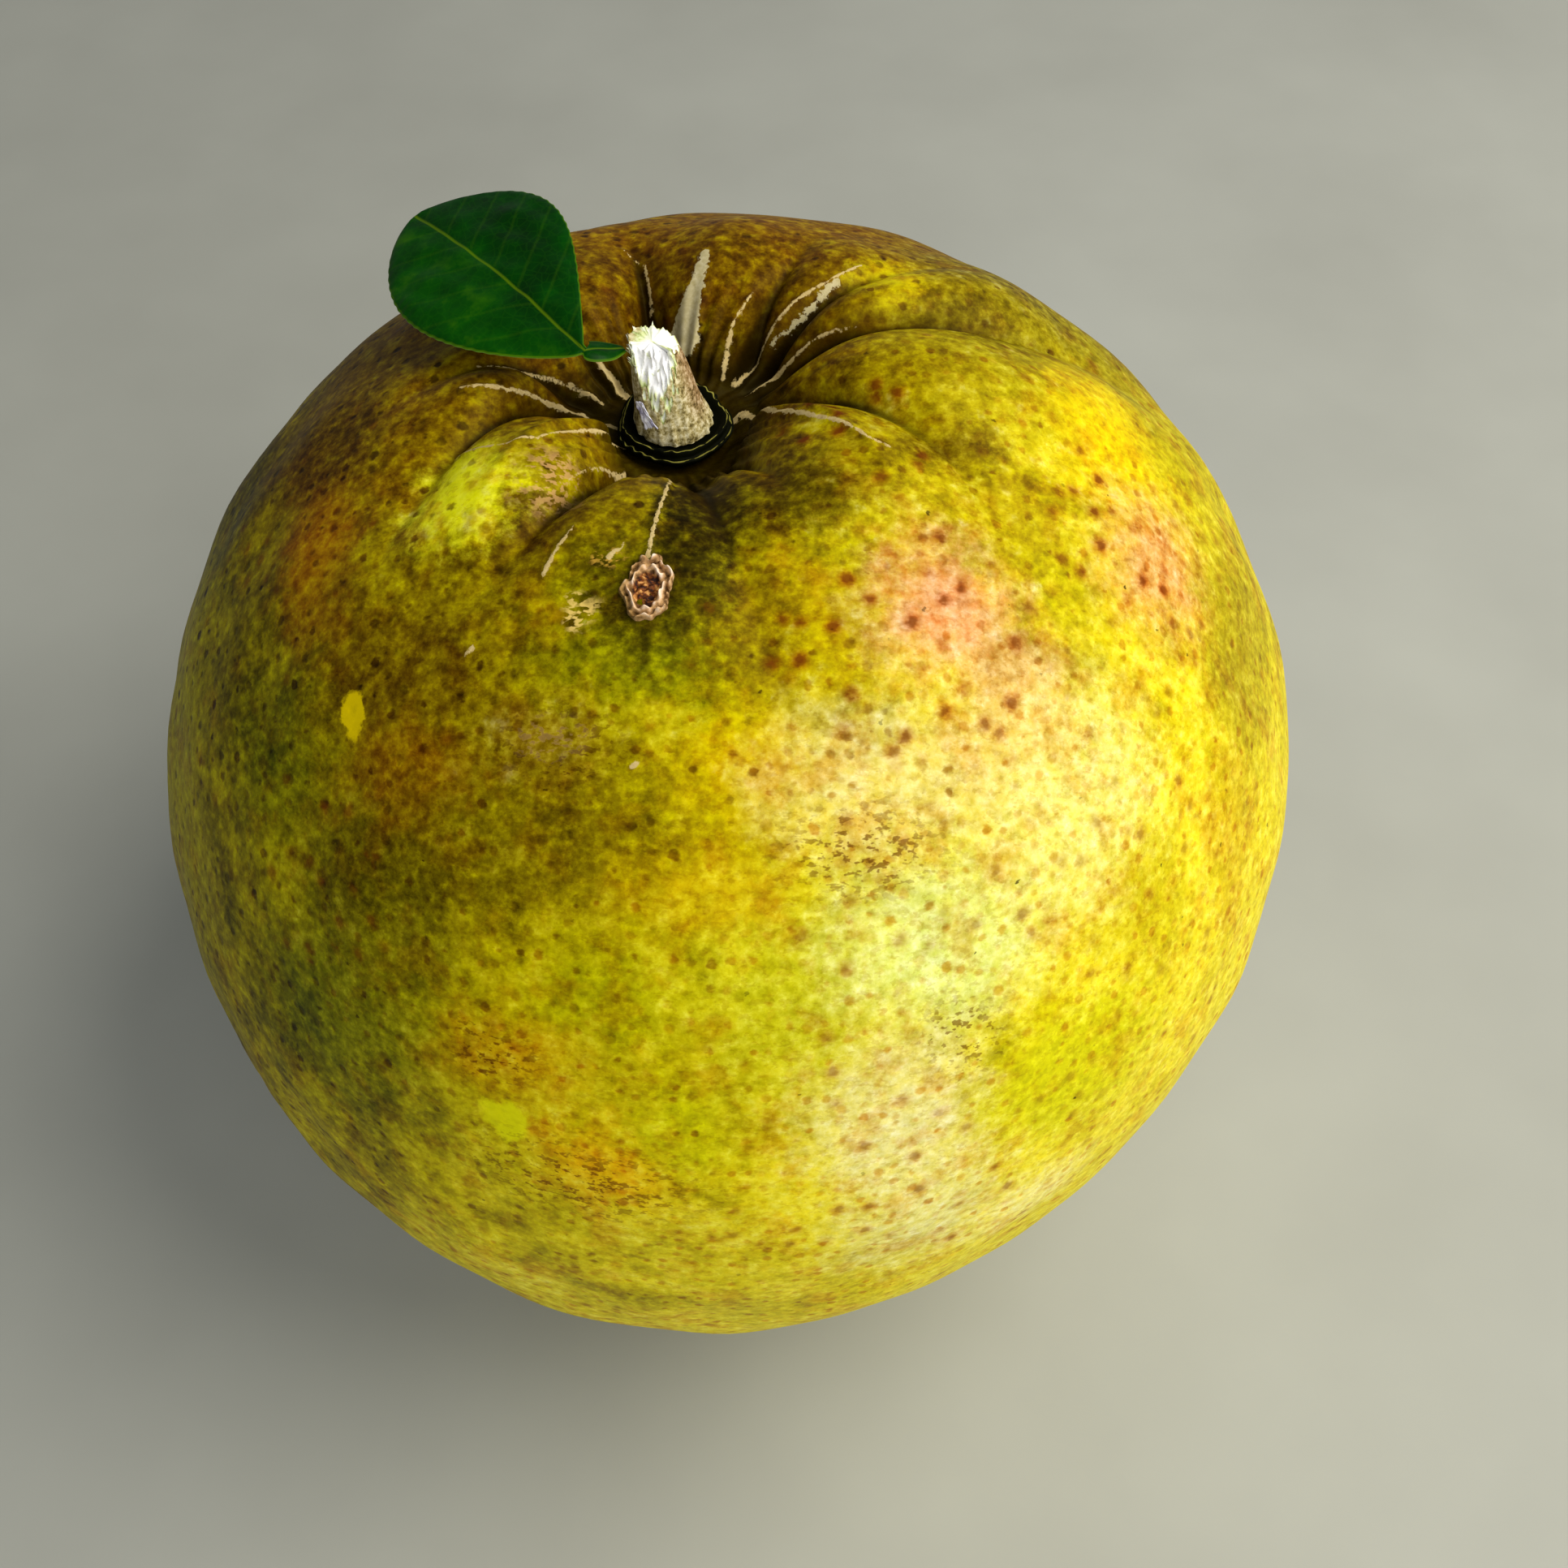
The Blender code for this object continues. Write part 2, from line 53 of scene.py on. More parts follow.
CAMERA_ELEVATION = math.radians(52.0)
CAMERA_DISTANCE = 266.0
MID_HEIGHT = 72.6
MM = 0.001

backward = Vector((0.0, -math.cos(CAMERA_ELEVATION), math.sin(CAMERA_ELEVATION)))
lens_data = bpy.data.cameras.new("camera")
lens_data.sensor_width = SENSOR_WIDTH
lens_data.lens = SENSOR_WIDTH * FOCAL_PIXELS / IMAGE_SIDE
lens_data.shift_x = (IMAGE_SIDE / 2 - BODY_PIXEL_X) / IMAGE_SIDE
lens_data.shift_y = (BODY_PIXEL_Y - IMAGE_SIDE / 2) / IMAGE_SIDE
lens_data.clip_start = 0.01
camera = bpy.data.objects.new("camera", lens_data)
camera.location = Vector((0.0, 0.0, MID_HEIGHT * MM)) + backward * CAMERA_DISTANCE * MM
camera.rotation_euler = backward.to_track_quat("Z", "Y").to_euler()
bpy.context.scene.collection.objects.link(camera)
bpy.context.scene.camera = camera
bpy.context.scene.view_settings.view_transform = "Standard"


# Floor: a plain pale sheet of cement, trowelled smooth, that the fruit stands on.
# The light is a soft studio lamp from the right and above, with a weak fill from the front right.
def linear(hex_colour):
    """Linear red, green, blue and alpha of an sRGB hex colour."""
    parts = [int(hex_colour[i:i + 2], 16) / 255.0 for i in (1, 3, 5)]
    return (*[c / 12.92 if c <= 0.04045 else ((c + 0.055) / 1.055) ** 2.4 for c in parts], 1.0)


def set_inputs(node, inputs):
    """Sets a node's inputs, given by name or in the order of those in use, to a value or a hex colour,
    or links them to a socket or to the first output in use of another node."""
    in_use = [socket for socket in node.inputs if socket.enabled]
    if isinstance(inputs, dict):
        in_use = [next(socket for socket in in_use if socket.name == name) for name in inputs]
        inputs = inputs.values()
    for socket, value in zip(in_use, inputs):
        if isinstance(value, bpy.types.Node):
            value = next(output for output in value.outputs if output.enabled)
        if isinstance(value, bpy.types.NodeSocket):
            node.id_data.links.new(value, socket)
        else:
            socket.default_value = linear(value) if isinstance(value, str) else value


def add_node(tree, kind, inputs=(), stops=(), **settings):
    """Adds a node with its settings, its inputs and, for a ramp, the places and colours of its stops."""
    made = tree.nodes.new("ShaderNode" + kind)
    for name, value in settings.items():
        setattr(made, name, value)
    set_inputs(made, inputs)
    for i, (place, colour) in enumerate(stops):
        ramp = made.color_ramp.elements
        stop = ramp[i] if i < len(ramp) else ramp.new(place)
        stop.position = place
        stop.color = linear(colour)
    return made


def new_material(name):
    """An empty node material, the call that adds a node to it, the shader that all leads to, and the
    place on the piece."""
    made = bpy.data.materials.new(name)
    made.use_nodes = True
    add = partial(add_node, made.node_tree)
    return made, add, made.node_tree.nodes["Principled BSDF"], add("TexCoord").outputs["Object"]


# Inputs in their order are, of a blend of colours, the share of the second and both colours, and of a
# noise, the place, one over the size of its clouds, the levels of finer detail and how strong these are.
COLOUR = {"data_type": "RGBA"}
# The sheet's side (m), its two greys, and the width of a trowel's stroke
FLOOR_SIDE = 6.0
FLOOR_GREY = "#b4b6ab"
FLOOR_DARK = "#9e9f95"
TROWEL_MARK = 60.0

# Trowelled cement: matt, with faint wide clouds left by the trowel
cement, add, shader, place = new_material("trowelled_cement")
cloud = add("TexNoise", (place, 1.0 / (TROWEL_MARK * MM), 4.0))
tint = add("Mix", (cloud, FLOOR_DARK, FLOOR_GREY), **COLOUR)
set_inputs(shader, {"Base Color": tint, "Roughness": 0.9})

floor_mesh = bpy.data.meshes.new("floor")
half = FLOOR_SIDE / 2
corners = [(-half, -half, 0), (half, -half, 0), (half, half, 0), (-half, half, 0)]
floor_mesh.from_pydata(corners, [], [(0, 1, 2, 3)])
floor_mesh.materials.append(cement)
floor = bpy.data.objects.new("floor", floor_mesh)
bpy.context.scene.collection.objects.link(floor)

LIGHTS = (
    # name, place (m), width (m), power (W), colour
    ("key", (0.45, -0.05, 0.70), 0.7, 6.4, "#fffaf2"),
    ("front_fill", (0.35, -0.75, 0.40), 0.7, 4.3, "#fafaff"),
)
for name, where, width, power, colour in LIGHTS:
    lamp_data = bpy.data.lights.new(name, "AREA")
    lamp_data.shape = "DISK"
    lamp_data.size = width
    lamp_data.energy = power
    lamp_data.color = linear(colour)[:3]
    lamp = bpy.data.objects.new(name, lamp_data)
    lamp.location = where
    towards = Vector((0.0, 0.0, MID_HEIGHT * MM)) - lamp.location
    lamp.rotation_euler = towards.to_track_quat("-Z", "Y").to_euler()
    bpy.context.scene.collection.objects.link(lamp)

world = bpy.data.worlds.new("studio")
world.use_nodes = True
set_inputs(world.node_tree.nodes["Background"], {"Color": "#e8ecf0", "Strength": 0.30})
bpy.context.scene.world = world

# Fruit: one thick rind of leathery peel. It grew round its stem, so its top is drawn into a dimple with
# furrows and folds between plump lobes, and dried corky lines and scars run along the creases.
CENTRING = np.array([0.15, 0.3, 0.0])
# The body's half sizes, how square it is, and the dimple, whose place slides to the middle further out
HALF_WIDTH = 75.0
HALF_HEIGHT_TOP = 74.0
HALF_HEIGHT_BOTTOM = 73.6
ROUNDNESS = 2.12
DIMPLE_DEPTH = 15.4
DIMPLE_RADIUS = 13.8
DIMPLE_X = -6.4
DIMPLE_Y = 4.4
DIMPLE_SLIDE = 62.0
# The flat seat under the calyx, the moat round it, and the low swelling round the dimple
SEAT_RADIUS = 6.0
SEAT_BLEND = 1.6
MOAT_DEPTH = 1.5
MOAT_RADIUS = 7.6
MOAT_HALF_WIDTH = 1.0
LOBE_HEIGHT = 0.2
LOBE_DISTANCE = 21.0
LOBE_SPREAD = 11.0
SEAT_HEIGHT = MID_HEIGHT + HALF_HEIGHT_TOP - DIMPLE_DEPTH

# Furrows out of the dimple, and folds that stand up beside them: azimuth at the stem and at the far end
# (degrees), reach from the stem's axis, depth or height, and half width
FURROWS = (
    (103.0, 108.0, 36.0, 7.4, 3.2),
    (50.0, 64.0, 34.0, 4.6, 1.8),
    (42.0, 40.0, 42.0, 5.0, 2.4),
    (28.0, 16.0, 58.0, 7.0, 3.2),
    (-4.0, -36.0, 44.0, 4.6, 2.6),
    (-54.0, -64.0, 28.0, 3.0, 2.6),
    (-82.0, -80.0, 50.0, 4.2, 7.0),
    (-114.0, -132.0, 42.0, 6.4, 2.4),
    (176.0, 215.0, 46.0, 6.4, 3.2),
    (158.0, 182.0, 40.0, 4.2, 2.6),
    (141.0, 144.0, 30.0, 3.0, 2.2),
)
FOLDS = (
    (-14.0, -50.0, 36.0, 1.7, 1.5),
    (-156.0, -136.0, 34.0, 1.7, 1.5),
    (57.0, 62.0, 30.0, 0.8, 1.4),
    (26.0, 33.0, 34.0, 0.9, 1.6),
)
# Where furrows begin and reach their depth, how soft their creases are, and how wide and how far out
# the painted shade along their creases reaches
FURROW_START = 5.5
FURROW_FULL = 11.0
CREASE_SOFTNESS = 0.22
CREASE_OPENING = 0.006
CREASE_LINE = 0.7
CREASE_FADE = 44.0
# Swellings: azimuth (degrees), distance from the stem's axis, half width round, half width out, height
SWELLINGS = (
    (32.0, 36.0, 7.0, 12.0, 1.6),
    (2.0, 34.0, 9.0, 12.0, 1.6),
    (-134.0, 27.0, 7.0, 9.0, 0.9),
    (125.0, 34.0, 9.0, 12.0, 1.0),
    (82.0, 24.0, 4.5, 12.0, 1.0),
)
# Flatter places: direction from the body's middle, half width and depth
FLAT_SIDES = (
    ((0.62, -0.62, -0.48), 44.0, 2.8),
    ((0.05, 0.80, 0.60), 30.0, 0.9),
    ((-0.20, 0.95, -0.20), 40.0, 1.0),
)
# Corky lines along the creases: places as azimuth (degrees) and distance from the stem's axis, then
# the half width at the stem's end and at the far end
CORKY_LINES = (
    (((103, 15), (103, 18), (104, 24), (109, 28)), 0.15, 0.12),
    (((57, 8), (62, 13), (61, 17)), 0.20, 0.10),
    (((52, 8), (48, 16), (45, 23), (45, 28)), 0.18, 0.12),
    (((40, 8), (31, 16), (27, 22)), 0.22, 0.04),
    (((9, 6), (19, 7), (-27, 13), (-33, 18), (-34, 21), (-36, 24), (-34, 26)), 0.32, 0.14),
    (((-168, 5), (-146, 10), (-142, 16), (-142, 20), (-146, 23), (-154, 26), (-160, 29)), 0.20, 0.12),
    (((173, 6), (167, 9), (174, 12), (182, 20), (182, 26)), 0.24, 0.20),
    (((152, 8), (158, 12), (168, 19), (171, 25)), 0.18, 0.12),
    (((135, 7), (138, 12)), 0.34, 0.28),
    (((-94, 12), (-93, 16), (-95, 20), (-98, 26), (-99, 29)), 0.10, 0.26),
    (((-116, 27), (-118, 30), (-119, 33)), 0.10, 0.26),
    (((-122, 9), (-125, 16), (-126, 21)), 0.14, 0.02),
    (((-104, 27.6), (-104.5, 28.4), (-106, 29.0), (-107, 29.8)), 0.10, 0.30),
    (((-126, 42.0), (-126.5, 42.8)), 0.28, 0.20),
    (((-100, 47.0), (-101, 47.6)), 0.24, 0.16),
)
# Silvery scars, given in the same way
SILVER_SCARS = (
    (((87, 11), (86, 14), (84, 17), (84, 21)), 1.80, 0.62),
    (((46, 13), (43, 17), (43, 21), (44, 24)), 0.16, 0.40),
)
CORK_HEIGHT = 0.22
# The gap given to skin that is far from any mark
FAR_GAP = 30.0
# Pleats: fine folds of the skin round the dimple. Lumps: low and wide, all over the fruit.
PLEATS = 46
PLEAT_HEIGHT = 0.22
PLEAT_FULL = 9.0
PLEAT_REACH = 22.0
LUMP_SIZE = 17.0
LUMP_HEIGHT = 0.16
# Streaks of colour run outwards from the stem, and are drawn out by this length
FLOW_STRETCH = 30.0
# The mesh is fine on the crown, which the photograph shows best, and coarser down the sides
CROWN_POLAR = math.radians(40.0)
CROWN_SEGMENTS = 600
CROWN_RINGS = 120
SIDE_RATIO = 3
SIDE_RINGS = 104


def smooth_step(low, high, value):
    """Rises softly from 0 at low to 1 at high, or falls where high is the smaller."""
    t = np.clip((value - low) / (high - low), 0.0, 1.0)
    return t * t * (3.0 - 2.0 * t)


def bell(offset):
    """1 in the middle, falling away softly to about a third at 1 on either side."""
    return np.exp(-(offset**2))


def turned(angle):
    """The same angle between -pi and pi."""
    return (angle + math.pi) % (2.0 * math.pi) - math.pi


def around(angle, radius=1.0, height=0.0):
    """Points at an angle round an upright axis, at a radius from it and at a height."""
    return np.stack([radius * np.cos(angle), radius * np.sin(angle), height + 0.0 * angle], -1)


def ripples(points, wavelength, seed, count=14):
    """Smooth uneven waves at points, about -1 to 1, summed from seeded directions."""
    draw = np.random.default_rng(seed)
    total = np.zeros(points.shape[:-1])
    for _ in range(count):
        way = draw.normal(size=3)
        way *= 2.0 * math.pi / (wavelength * np.linalg.norm(way)) * draw.uniform(0.6, 1.5)
        total += np.sin(points @ way + draw.uniform(0.0, 2.0 * math.pi))
    return total * math.sqrt(2.0 / count)


def plain_skin(polar, azimuth):
    """The fruit without its puckers, from the body's middle, and the distance from the stem's axis.
    That axis slides towards the middle lower down."""
    upper = np.cos(polar) > 0.0
    distance = HALF_WIDTH * np.maximum(np.sin(polar), 0.0) ** (2.0 / ROUNDNESS)
    slide = np.where(upper, np.clip(1.0 - (distance / DIMPLE_SLIDE) ** 2, 0.0, 1.0) ** 2, 0.0)
    x = distance * np.cos(azimuth) + DIMPLE_X * slide
    y = distance * np.sin(azimuth) + DIMPLE_Y * slide
    spread = np.minimum(np.hypot(x, y) / HALF_WIDTH, 1.0)
    half_height = np.where(upper, HALF_HEIGHT_TOP, -HALF_HEIGHT_BOTTOM)
    z = half_height * (1.0 - spread**ROUNDNESS) ** (1.0 / ROUNDNESS)
    dimple = DIMPLE_DEPTH * bell(distance / DIMPLE_RADIUS)
    return np.stack([x, y, z - np.where(upper, dimple, 0.0)], -1), distance


def furrow_depth(azimuth, distance, furrow):
    """How far one furrow lies below the plain skin, and how near its sharp crease is, which sets the
    painted shade along the crease.
    """
    start, end, reach, depth, half_width = furrow
    along = np.clip((distance - FURROW_START) / (reach - FURROW_START), 0.0, 1.0)
    line = math.radians(start) + math.radians(end - start) * along
    across = distance * turned(azimuth - line)
    spread = half_width * (0.45 + 0.9 * along)
    softness = CREASE_SOFTNESS + CREASE_OPENING * distance
    crease = np.sqrt(across**2 + softness**2) - softness
    ends = smooth_step(FURROW_START, FURROW_FULL, distance) * (1.0 - along**1.5) ** 1.4
    fade = smooth_step(CREASE_FADE, 0.5 * CREASE_FADE, distance)
    return depth * ends * np.exp(-crease / spread), depth * ends * fade * bell(across / CREASE_LINE)


def mark_gap(azimuth, distance, marks):
    """Distance in plan to the edge of the nearest mark, negative inside it."""
    here = around(azimuth, distance)
    nearest = np.full(distance.shape, FAR_GAP)
    for places, first_width, last_width in marks:
        route = [around(math.radians(direction), out) for direction, out in places]
        pieces = len(route) - 1
        for i in range(pieces):
            run = route[i + 1] - route[i]
            along = np.clip(((here - route[i]) @ run) / (run @ run), 0.0, 1.0)
            gap = np.linalg.norm(here - route[i] - along[..., None] * run, axis=-1)
            width = first_width + (last_width - first_width) * (i + along) / pieces
            nearest = np.minimum(nearest, gap - width)
    return nearest


def fruit_skin(polar, azimuth):
    """Skin points in mm above the floor, and what the finish needs to know at each of them."""
    step = 1e-3
    points, distance = plain_skin(polar, azimuth)
    down = plain_skin(polar + step, azimuth)[0] - points
    round_it = plain_skin(polar, azimuth + step)[0] - points
    normal = np.cross(down, round_it)
    normal = normal / np.maximum(np.linalg.norm(normal, axis=-1, keepdims=True), 1e-12)
    upper = (np.cos(polar) > 0.0) & (np.sin(polar) > 1e-6)
    rise = LOBE_HEIGHT * bell((distance - LOBE_DISTANCE) / LOBE_SPREAD)
    rise = rise - MOAT_DEPTH * bell((distance - MOAT_RADIUS) / MOAT_HALF_WIDTH)
    for place, out, half_round, half_out, tall in SWELLINGS:
        across = out * turned(azimuth - math.radians(place)) / half_round
        rise = rise + tall * bell(across) * bell((distance - out) / half_out)
    furrowed, crease_shade = sum(np.array(furrow_depth(azimuth, distance, furrow)) for furrow in FURROWS)
    folded = sum(furrow_depth(azimuth, distance, fold)[0] for fold in FOLDS)
    cork_gap = mark_gap(azimuth, distance, CORKY_LINES)
    scar_gap = mark_gap(azimuth, distance, SILVER_SCARS)
    pleats = np.sin(PLEATS * azimuth + 2.0 * np.sin(3.0 * azimuth) + 0.10 * distance)
    pleat_zone = smooth_step(FURROW_START, PLEAT_FULL, distance)
    pleat_zone = pleat_zone * smooth_step(PLEAT_REACH, PLEAT_FULL, distance)
    rise = rise - furrowed + folded + PLEAT_HEIGHT * pleats * pleat_zone
    rise = rise + CORK_HEIGHT * smooth_step(0.45, -0.1, cork_gap)
    rise = rise + 0.4 * CORK_HEIGHT * smooth_step(0.5, -0.3, scar_gap)
    height = np.where(upper, rise, 0.0)
    for direction, half_width, depth in FLAT_SIDES:
        centre = np.array(direction) * HALF_WIDTH / np.linalg.norm(direction)
        apart = np.linalg.norm(points - centre, axis=-1) / half_width
        height = height - depth * bell(apart)
    above_seat = smooth_step(1.0, 12.0, points[..., 2] + HALF_WIDTH)
    height = height + LUMP_HEIGHT * ripples(points, LUMP_SIZE, seed=3) * above_seat
    points = points + normal * height[..., None]
    points[..., 2] += MID_HEIGHT
    seat = smooth_step(SEAT_RADIUS + SEAT_BLEND, SEAT_RADIUS, distance) * (np.cos(polar) > 0.0)
    points[..., 2] += seat * (SEAT_HEIGHT - points[..., 2])
    points[..., 2] = np.maximum(points[..., 2], 0.0)
    far = np.where(upper, distance, 2.0 * HALF_WIDTH - distance)
    facts = {
        "stem_distance": far,
        "hollow": np.where(upper, furrowed, 0.0),
        "crease": np.where(upper, crease_shade, 0.0),
        "cork_gap": np.where(upper, cork_gap, FAR_GAP),
        "scar_gap": np.where(upper, scar_gap, FAR_GAP),
        "flow": around(azimuth, height=far / FLOW_STRETCH),
    }
    return points, facts


def add_piece(name, points, faces, finish, facts=None, sharp=180.0):
    """A smooth mesh object from points in mm, riding on the fruit's body. Facts are values kept at
    each point for the finish."""
    mesh = bpy.data.meshes.new(name)
    mesh.from_pydata(((np.asarray(points, float) + CENTRING) * MM).tolist(), [], faces)
    mesh.materials.append(finish)
    mesh.shade_smooth()
    if sharp < 180.0:
        mesh.set_sharp_from_angle(angle=math.radians(sharp))
    for fact, values in (facts or {}).items():
        values = np.asarray(values, float)
        kind, field = ("FLOAT", "value") if values.ndim == 1 else ("FLOAT_VECTOR", "vector")
        mesh.attributes.new(fact, kind, "POINT").data.foreach_set(field, values.ravel())
    piece = bpy.data.objects.new(name, mesh)
    bpy.context.scene.collection.objects.link(piece)
    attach(piece, "root")
    return piece


def ring_faces(upper, lower):
    """Faces between two closed rings of points. The upper ring may have several times as many."""
    ratio = len(upper) // len(lower)
    faces = []
    for i, here in enumerate(lower):
        there = lower[(i + 1) % len(lower)]
        top = [upper[(i * ratio + k) % len(upper)] for k in range(ratio + 1)]
        faces.append((here, there, *reversed(top)))
    return faces


seat_polar = math.asin((SEAT_RADIUS / HALF_WIDTH) ** (0.5 * ROUNDNESS))
crown_polars = seat_polar + (CROWN_POLAR - seat_polar) * np.linspace(0.0, 1.0, CROWN_RINGS)
side_polars = CROWN_POLAR + (math.pi - CROWN_POLAR) * np.arange(1, SIDE_RINGS) / SIDE_RINGS
ring_list = [(0.0, 1), (0.5 * seat_polar, CROWN_SEGMENTS)]
ring_list += [(polar, CROWN_SEGMENTS) for polar in crown_polars]
ring_list += [(polar, CROWN_SEGMENTS // SIDE_RATIO) for polar in side_polars]
ring_list += [(math.pi, 1)]
polars = np.concatenate([np.full(count, polar) for polar, count in ring_list])
azimuths = np.concatenate([np.arange(count) * 2.0 * math.pi / count for _, count in ring_list])
skin_points, skin_facts = fruit_skin(polars, azimuths)
starts = np.cumsum([0] + [count for _, count in ring_list])
rings = [list(range(starts[i], starts[i + 1])) for i in range(len(ring_list))]
skin_faces = [(rings[0][0], rings[1][i], rings[1][(i + 1) % len(rings[1])]) for i in range(len(rings[1]))]
for upper_ring, lower_ring in zip(rings[1:-2], rings[2:-1]):
    skin_faces += ring_faces(upper_ring, lower_ring)
last = rings[-2]
skin_faces += [(rings[-1][0], last[(i + 1) % len(last)], last[i]) for i in range(len(last))]

# Rind finish: waxed citrus peel, satin, with round oil glands under a thin clear skin. Its ground colour
# drifts from leaf green to lemon. Real glands are 1.3 to 1.7 mm apart. They are drawn 2 mm apart,
# because finer ones would not show.
GLAND_SPACING = 2.0
OLD_GLAND_SPACING = 3.7
SPECK_SPACING = 4.4
# Clouds in the skin: size (mm), levels of finer detail, and strength of the finer levels
DRIFT = (26.0, 3.0, 0.55)
MOTTLE = (5.0, 4.0, 0.62)
GRAIN = (1.4, 4.0, 0.65)
CLOT = (2.4, 3.0, 0.60)
WANDER = (4.5, 5.0, 0.70)
RAGGED = (0.7, 4.0, 0.65)
FLECK = (0.9, 2.0, 0.70)
# How far edges wander (mm): of wide patches, of fine marks, and of the places of glands and old glands
WIDE_WANDER = 13.0
FINE_WANDER = 5.0
GLAND_WANDER = 0.9
OLD_GLAND_WANDER = 1.1
# Flecks are longer round the fruit than up it
FLECK_SHAPE = (0.6, 1.0, 1.1)
PIT_DEPTH = 0.12
SUNNY_SIDE = Vector((0.75, -0.50, -0.30))
SUN_SHARE = 0.40
GROUND = (
    (0.00, "#332b00"),
    (0.20, "#5c5000"),
    (0.38, "#877800"),
    (0.55, "#b0a000"),
    (0.72, "#cdbc0c"),
    (0.92, "#e0d028"),
)
# Coloured patches: place from the body's middle, half lengths (mm), colour, share and edge softness
PATCHES = (
    ("brown_back", (0, 44, 58), (52, 36, 26), "#7c5200", 0.85, 0.6),
    ("brown_left_shoulder", (-42, 4, 62), (22, 20, 12), "#735200", 0.7, 0.6),
    ("olive_right_back", (40, 24, 59), (20, 16, 12), "#80760a", 0.65, 0.6),
    ("olive_right_lobes", (30, 8, 68), (12, 12, 8), "#8c7e00", 0.65, 0.7),
    ("yellow_right_shoulder", (43, 1, 62), (8, 12, 8), "#e4c800", 0.8, 0.6),
    ("brown_left", (-36, -33, 58), (16, 14, 9), "#604200", 0.7, 0.6),
    ("orange_left_high", (-46, -12, 59), (5, 13, 5), "#a06400", 0.7, 0.8),
    ("orange_left_low", (-35, -43, 52), (7, 6, 5), "#985e00", 0.65, 0.8),
    ("green_left_high", (-51, -35, 47), (8, 9, 9), "#4e5800", 0.65, 0.8),
    ("green_left_low", (-44, -55, 28), (15, 12, 15), "#465200", 0.75, 0.8),
    ("dark_left_middle", (-36, -48, 45), (13, 9, 9), "#4a4000", 0.82, 0.7),
    ("dark_middle", (-18, -50, 54), (15, 10, 8), "#625000", 0.7, 0.8),
    ("green_middle_low", (-12, -62, 42), (8, 5, 6), "#a0a400", 0.55, 0.8),
    ("green_centre", (-6, -36, 65), (12, 6, 5), "#5e6800", 0.65, 0.8),
    ("green_front", (6, -62, 42), (8, 9, 13), "#a8ac10", 0.6, 0.8),
    ("rust_left", (-24, -64, 34), (8, 4, 5), "#b88400", 0.6, 0.8),
    ("rust_low", (-14, -71, 22), (7, 4, 6), "#dca000", 0.62, 0.9),
    ("yellow_green_low", (-5, -70, 28), (5, 5, 6), "#b8b800", 0.6, 0.7),
    ("rust_middle", (-3, -55, 52), (8, 4, 4), "#c4a400", 0.65, 0.8),
    ("russet_crust", (-19, -42, 60), (6, 4, 3), "#7c5c0c", 0.55, 0.8),
    ("left_edge", (-68, -18, 24), (8, 28, 36), "#b4a600", 0.7, 0.6),
    ("brown_under_lobe", (-21, -22, 68), (10, 5, 5), "#604800", 0.75, 0.6),
    ("left_lobe", (-28, -14, 68), (7, 6, 6), "#f2f018", 0.95, 0.55),
    # Painted shade on the crest of the left lobe, where the lamp falls strongest
    ("lobe_top_painted_shade", (-20, -11, 70), (6, 5, 5), "#b09c00", 0.6, 0.8),
    ("right_lobe_back", (19, 21, 68), (4, 4, 5), "#dccc00", 0.85, 0.5),
    ("brown_right_back", (28, 15, 67), (6, 5, 5), "#5c4a00", 0.75, 0.6),
    ("right_lobe_middle", (22, 0, 72), (6, 5, 5), "#927e00", 0.7, 0.6),
    ("right_lobe_front", (14, -14, 71), (7, 6, 6), "#8a7400", 0.6, 0.7),
    ("brown_over_blush", (31, -17, 68), (8, 5, 5), "#a48a00", 0.5, 0.8),
    ("gold_front", (6, -33, 66), (7, 6, 5), "#c0a000", 0.7, 0.7),
    ("gold_middle", (2, -46, 60), (6, 7, 6), "#ccb000", 0.85, 0.7),
    ("blush_high", (20, -25, 67), (4, 5, 4), "#c48c40", 0.6, 0.8),
    ("blush", (23, -30, 65), (7, 6, 6), "#dc9868", 0.82, 0.9),
    ("blush_shade", (30, -32, 61), (4, 4, 4), "#a47838", 0.7, 0.8),
    ("blush_low", (31, -37, 59), (6, 5, 5), "#d69c58", 0.75, 0.8),
    ("blush_foot", (28, -43, 56), (6, 5, 5), "#d49c50", 0.7, 0.8),
    ("small_blush", (48, -15, 57), (8, 8, 7), "#d6945a", 0.75, 0.8),
    # A painted highlight: a broad cream pool of light on the front right
    ("cream_painted_highlight", (15, -47, 59), (9, 7, 6), "#e2d274", 0.8, 0.8),
    ("lemon", (35, -43, 51), (12, 11, 12), "#dcd470", 0.8, 0.7),
    ("pale_green", (22, -57, 44), (10, 8, 9), "#d4de7c", 0.78, 0.8),
    ("pale_low", (19, -68, 26), (9, 6, 11), "#e2d888", 0.8, 0.7),
    ("pale_foot", (24, -71, 8), (10, 5, 10), "#e0d884", 0.75, 0.8),
    ("pale_low_edge", (36, -64, 1), (8, 6, 6), "#f4e884", 0.75, 0.7),
    ("band_high", (46, -46, 36), (6, 6, 9), "#bcac00", 0.85, 0.7),
    ("band_low", (39, -60, 24), (14, 9, 10), "#c4be00", 0.92, 0.5),
    ("olive_right_edge", (60, -16, 45), (7, 16, 10), "#907e08", 0.7, 0.7),
    ("orange_right_edge", (58, -35, 34), (4, 7, 12), "#c09c14", 0.6, 0.8),
)
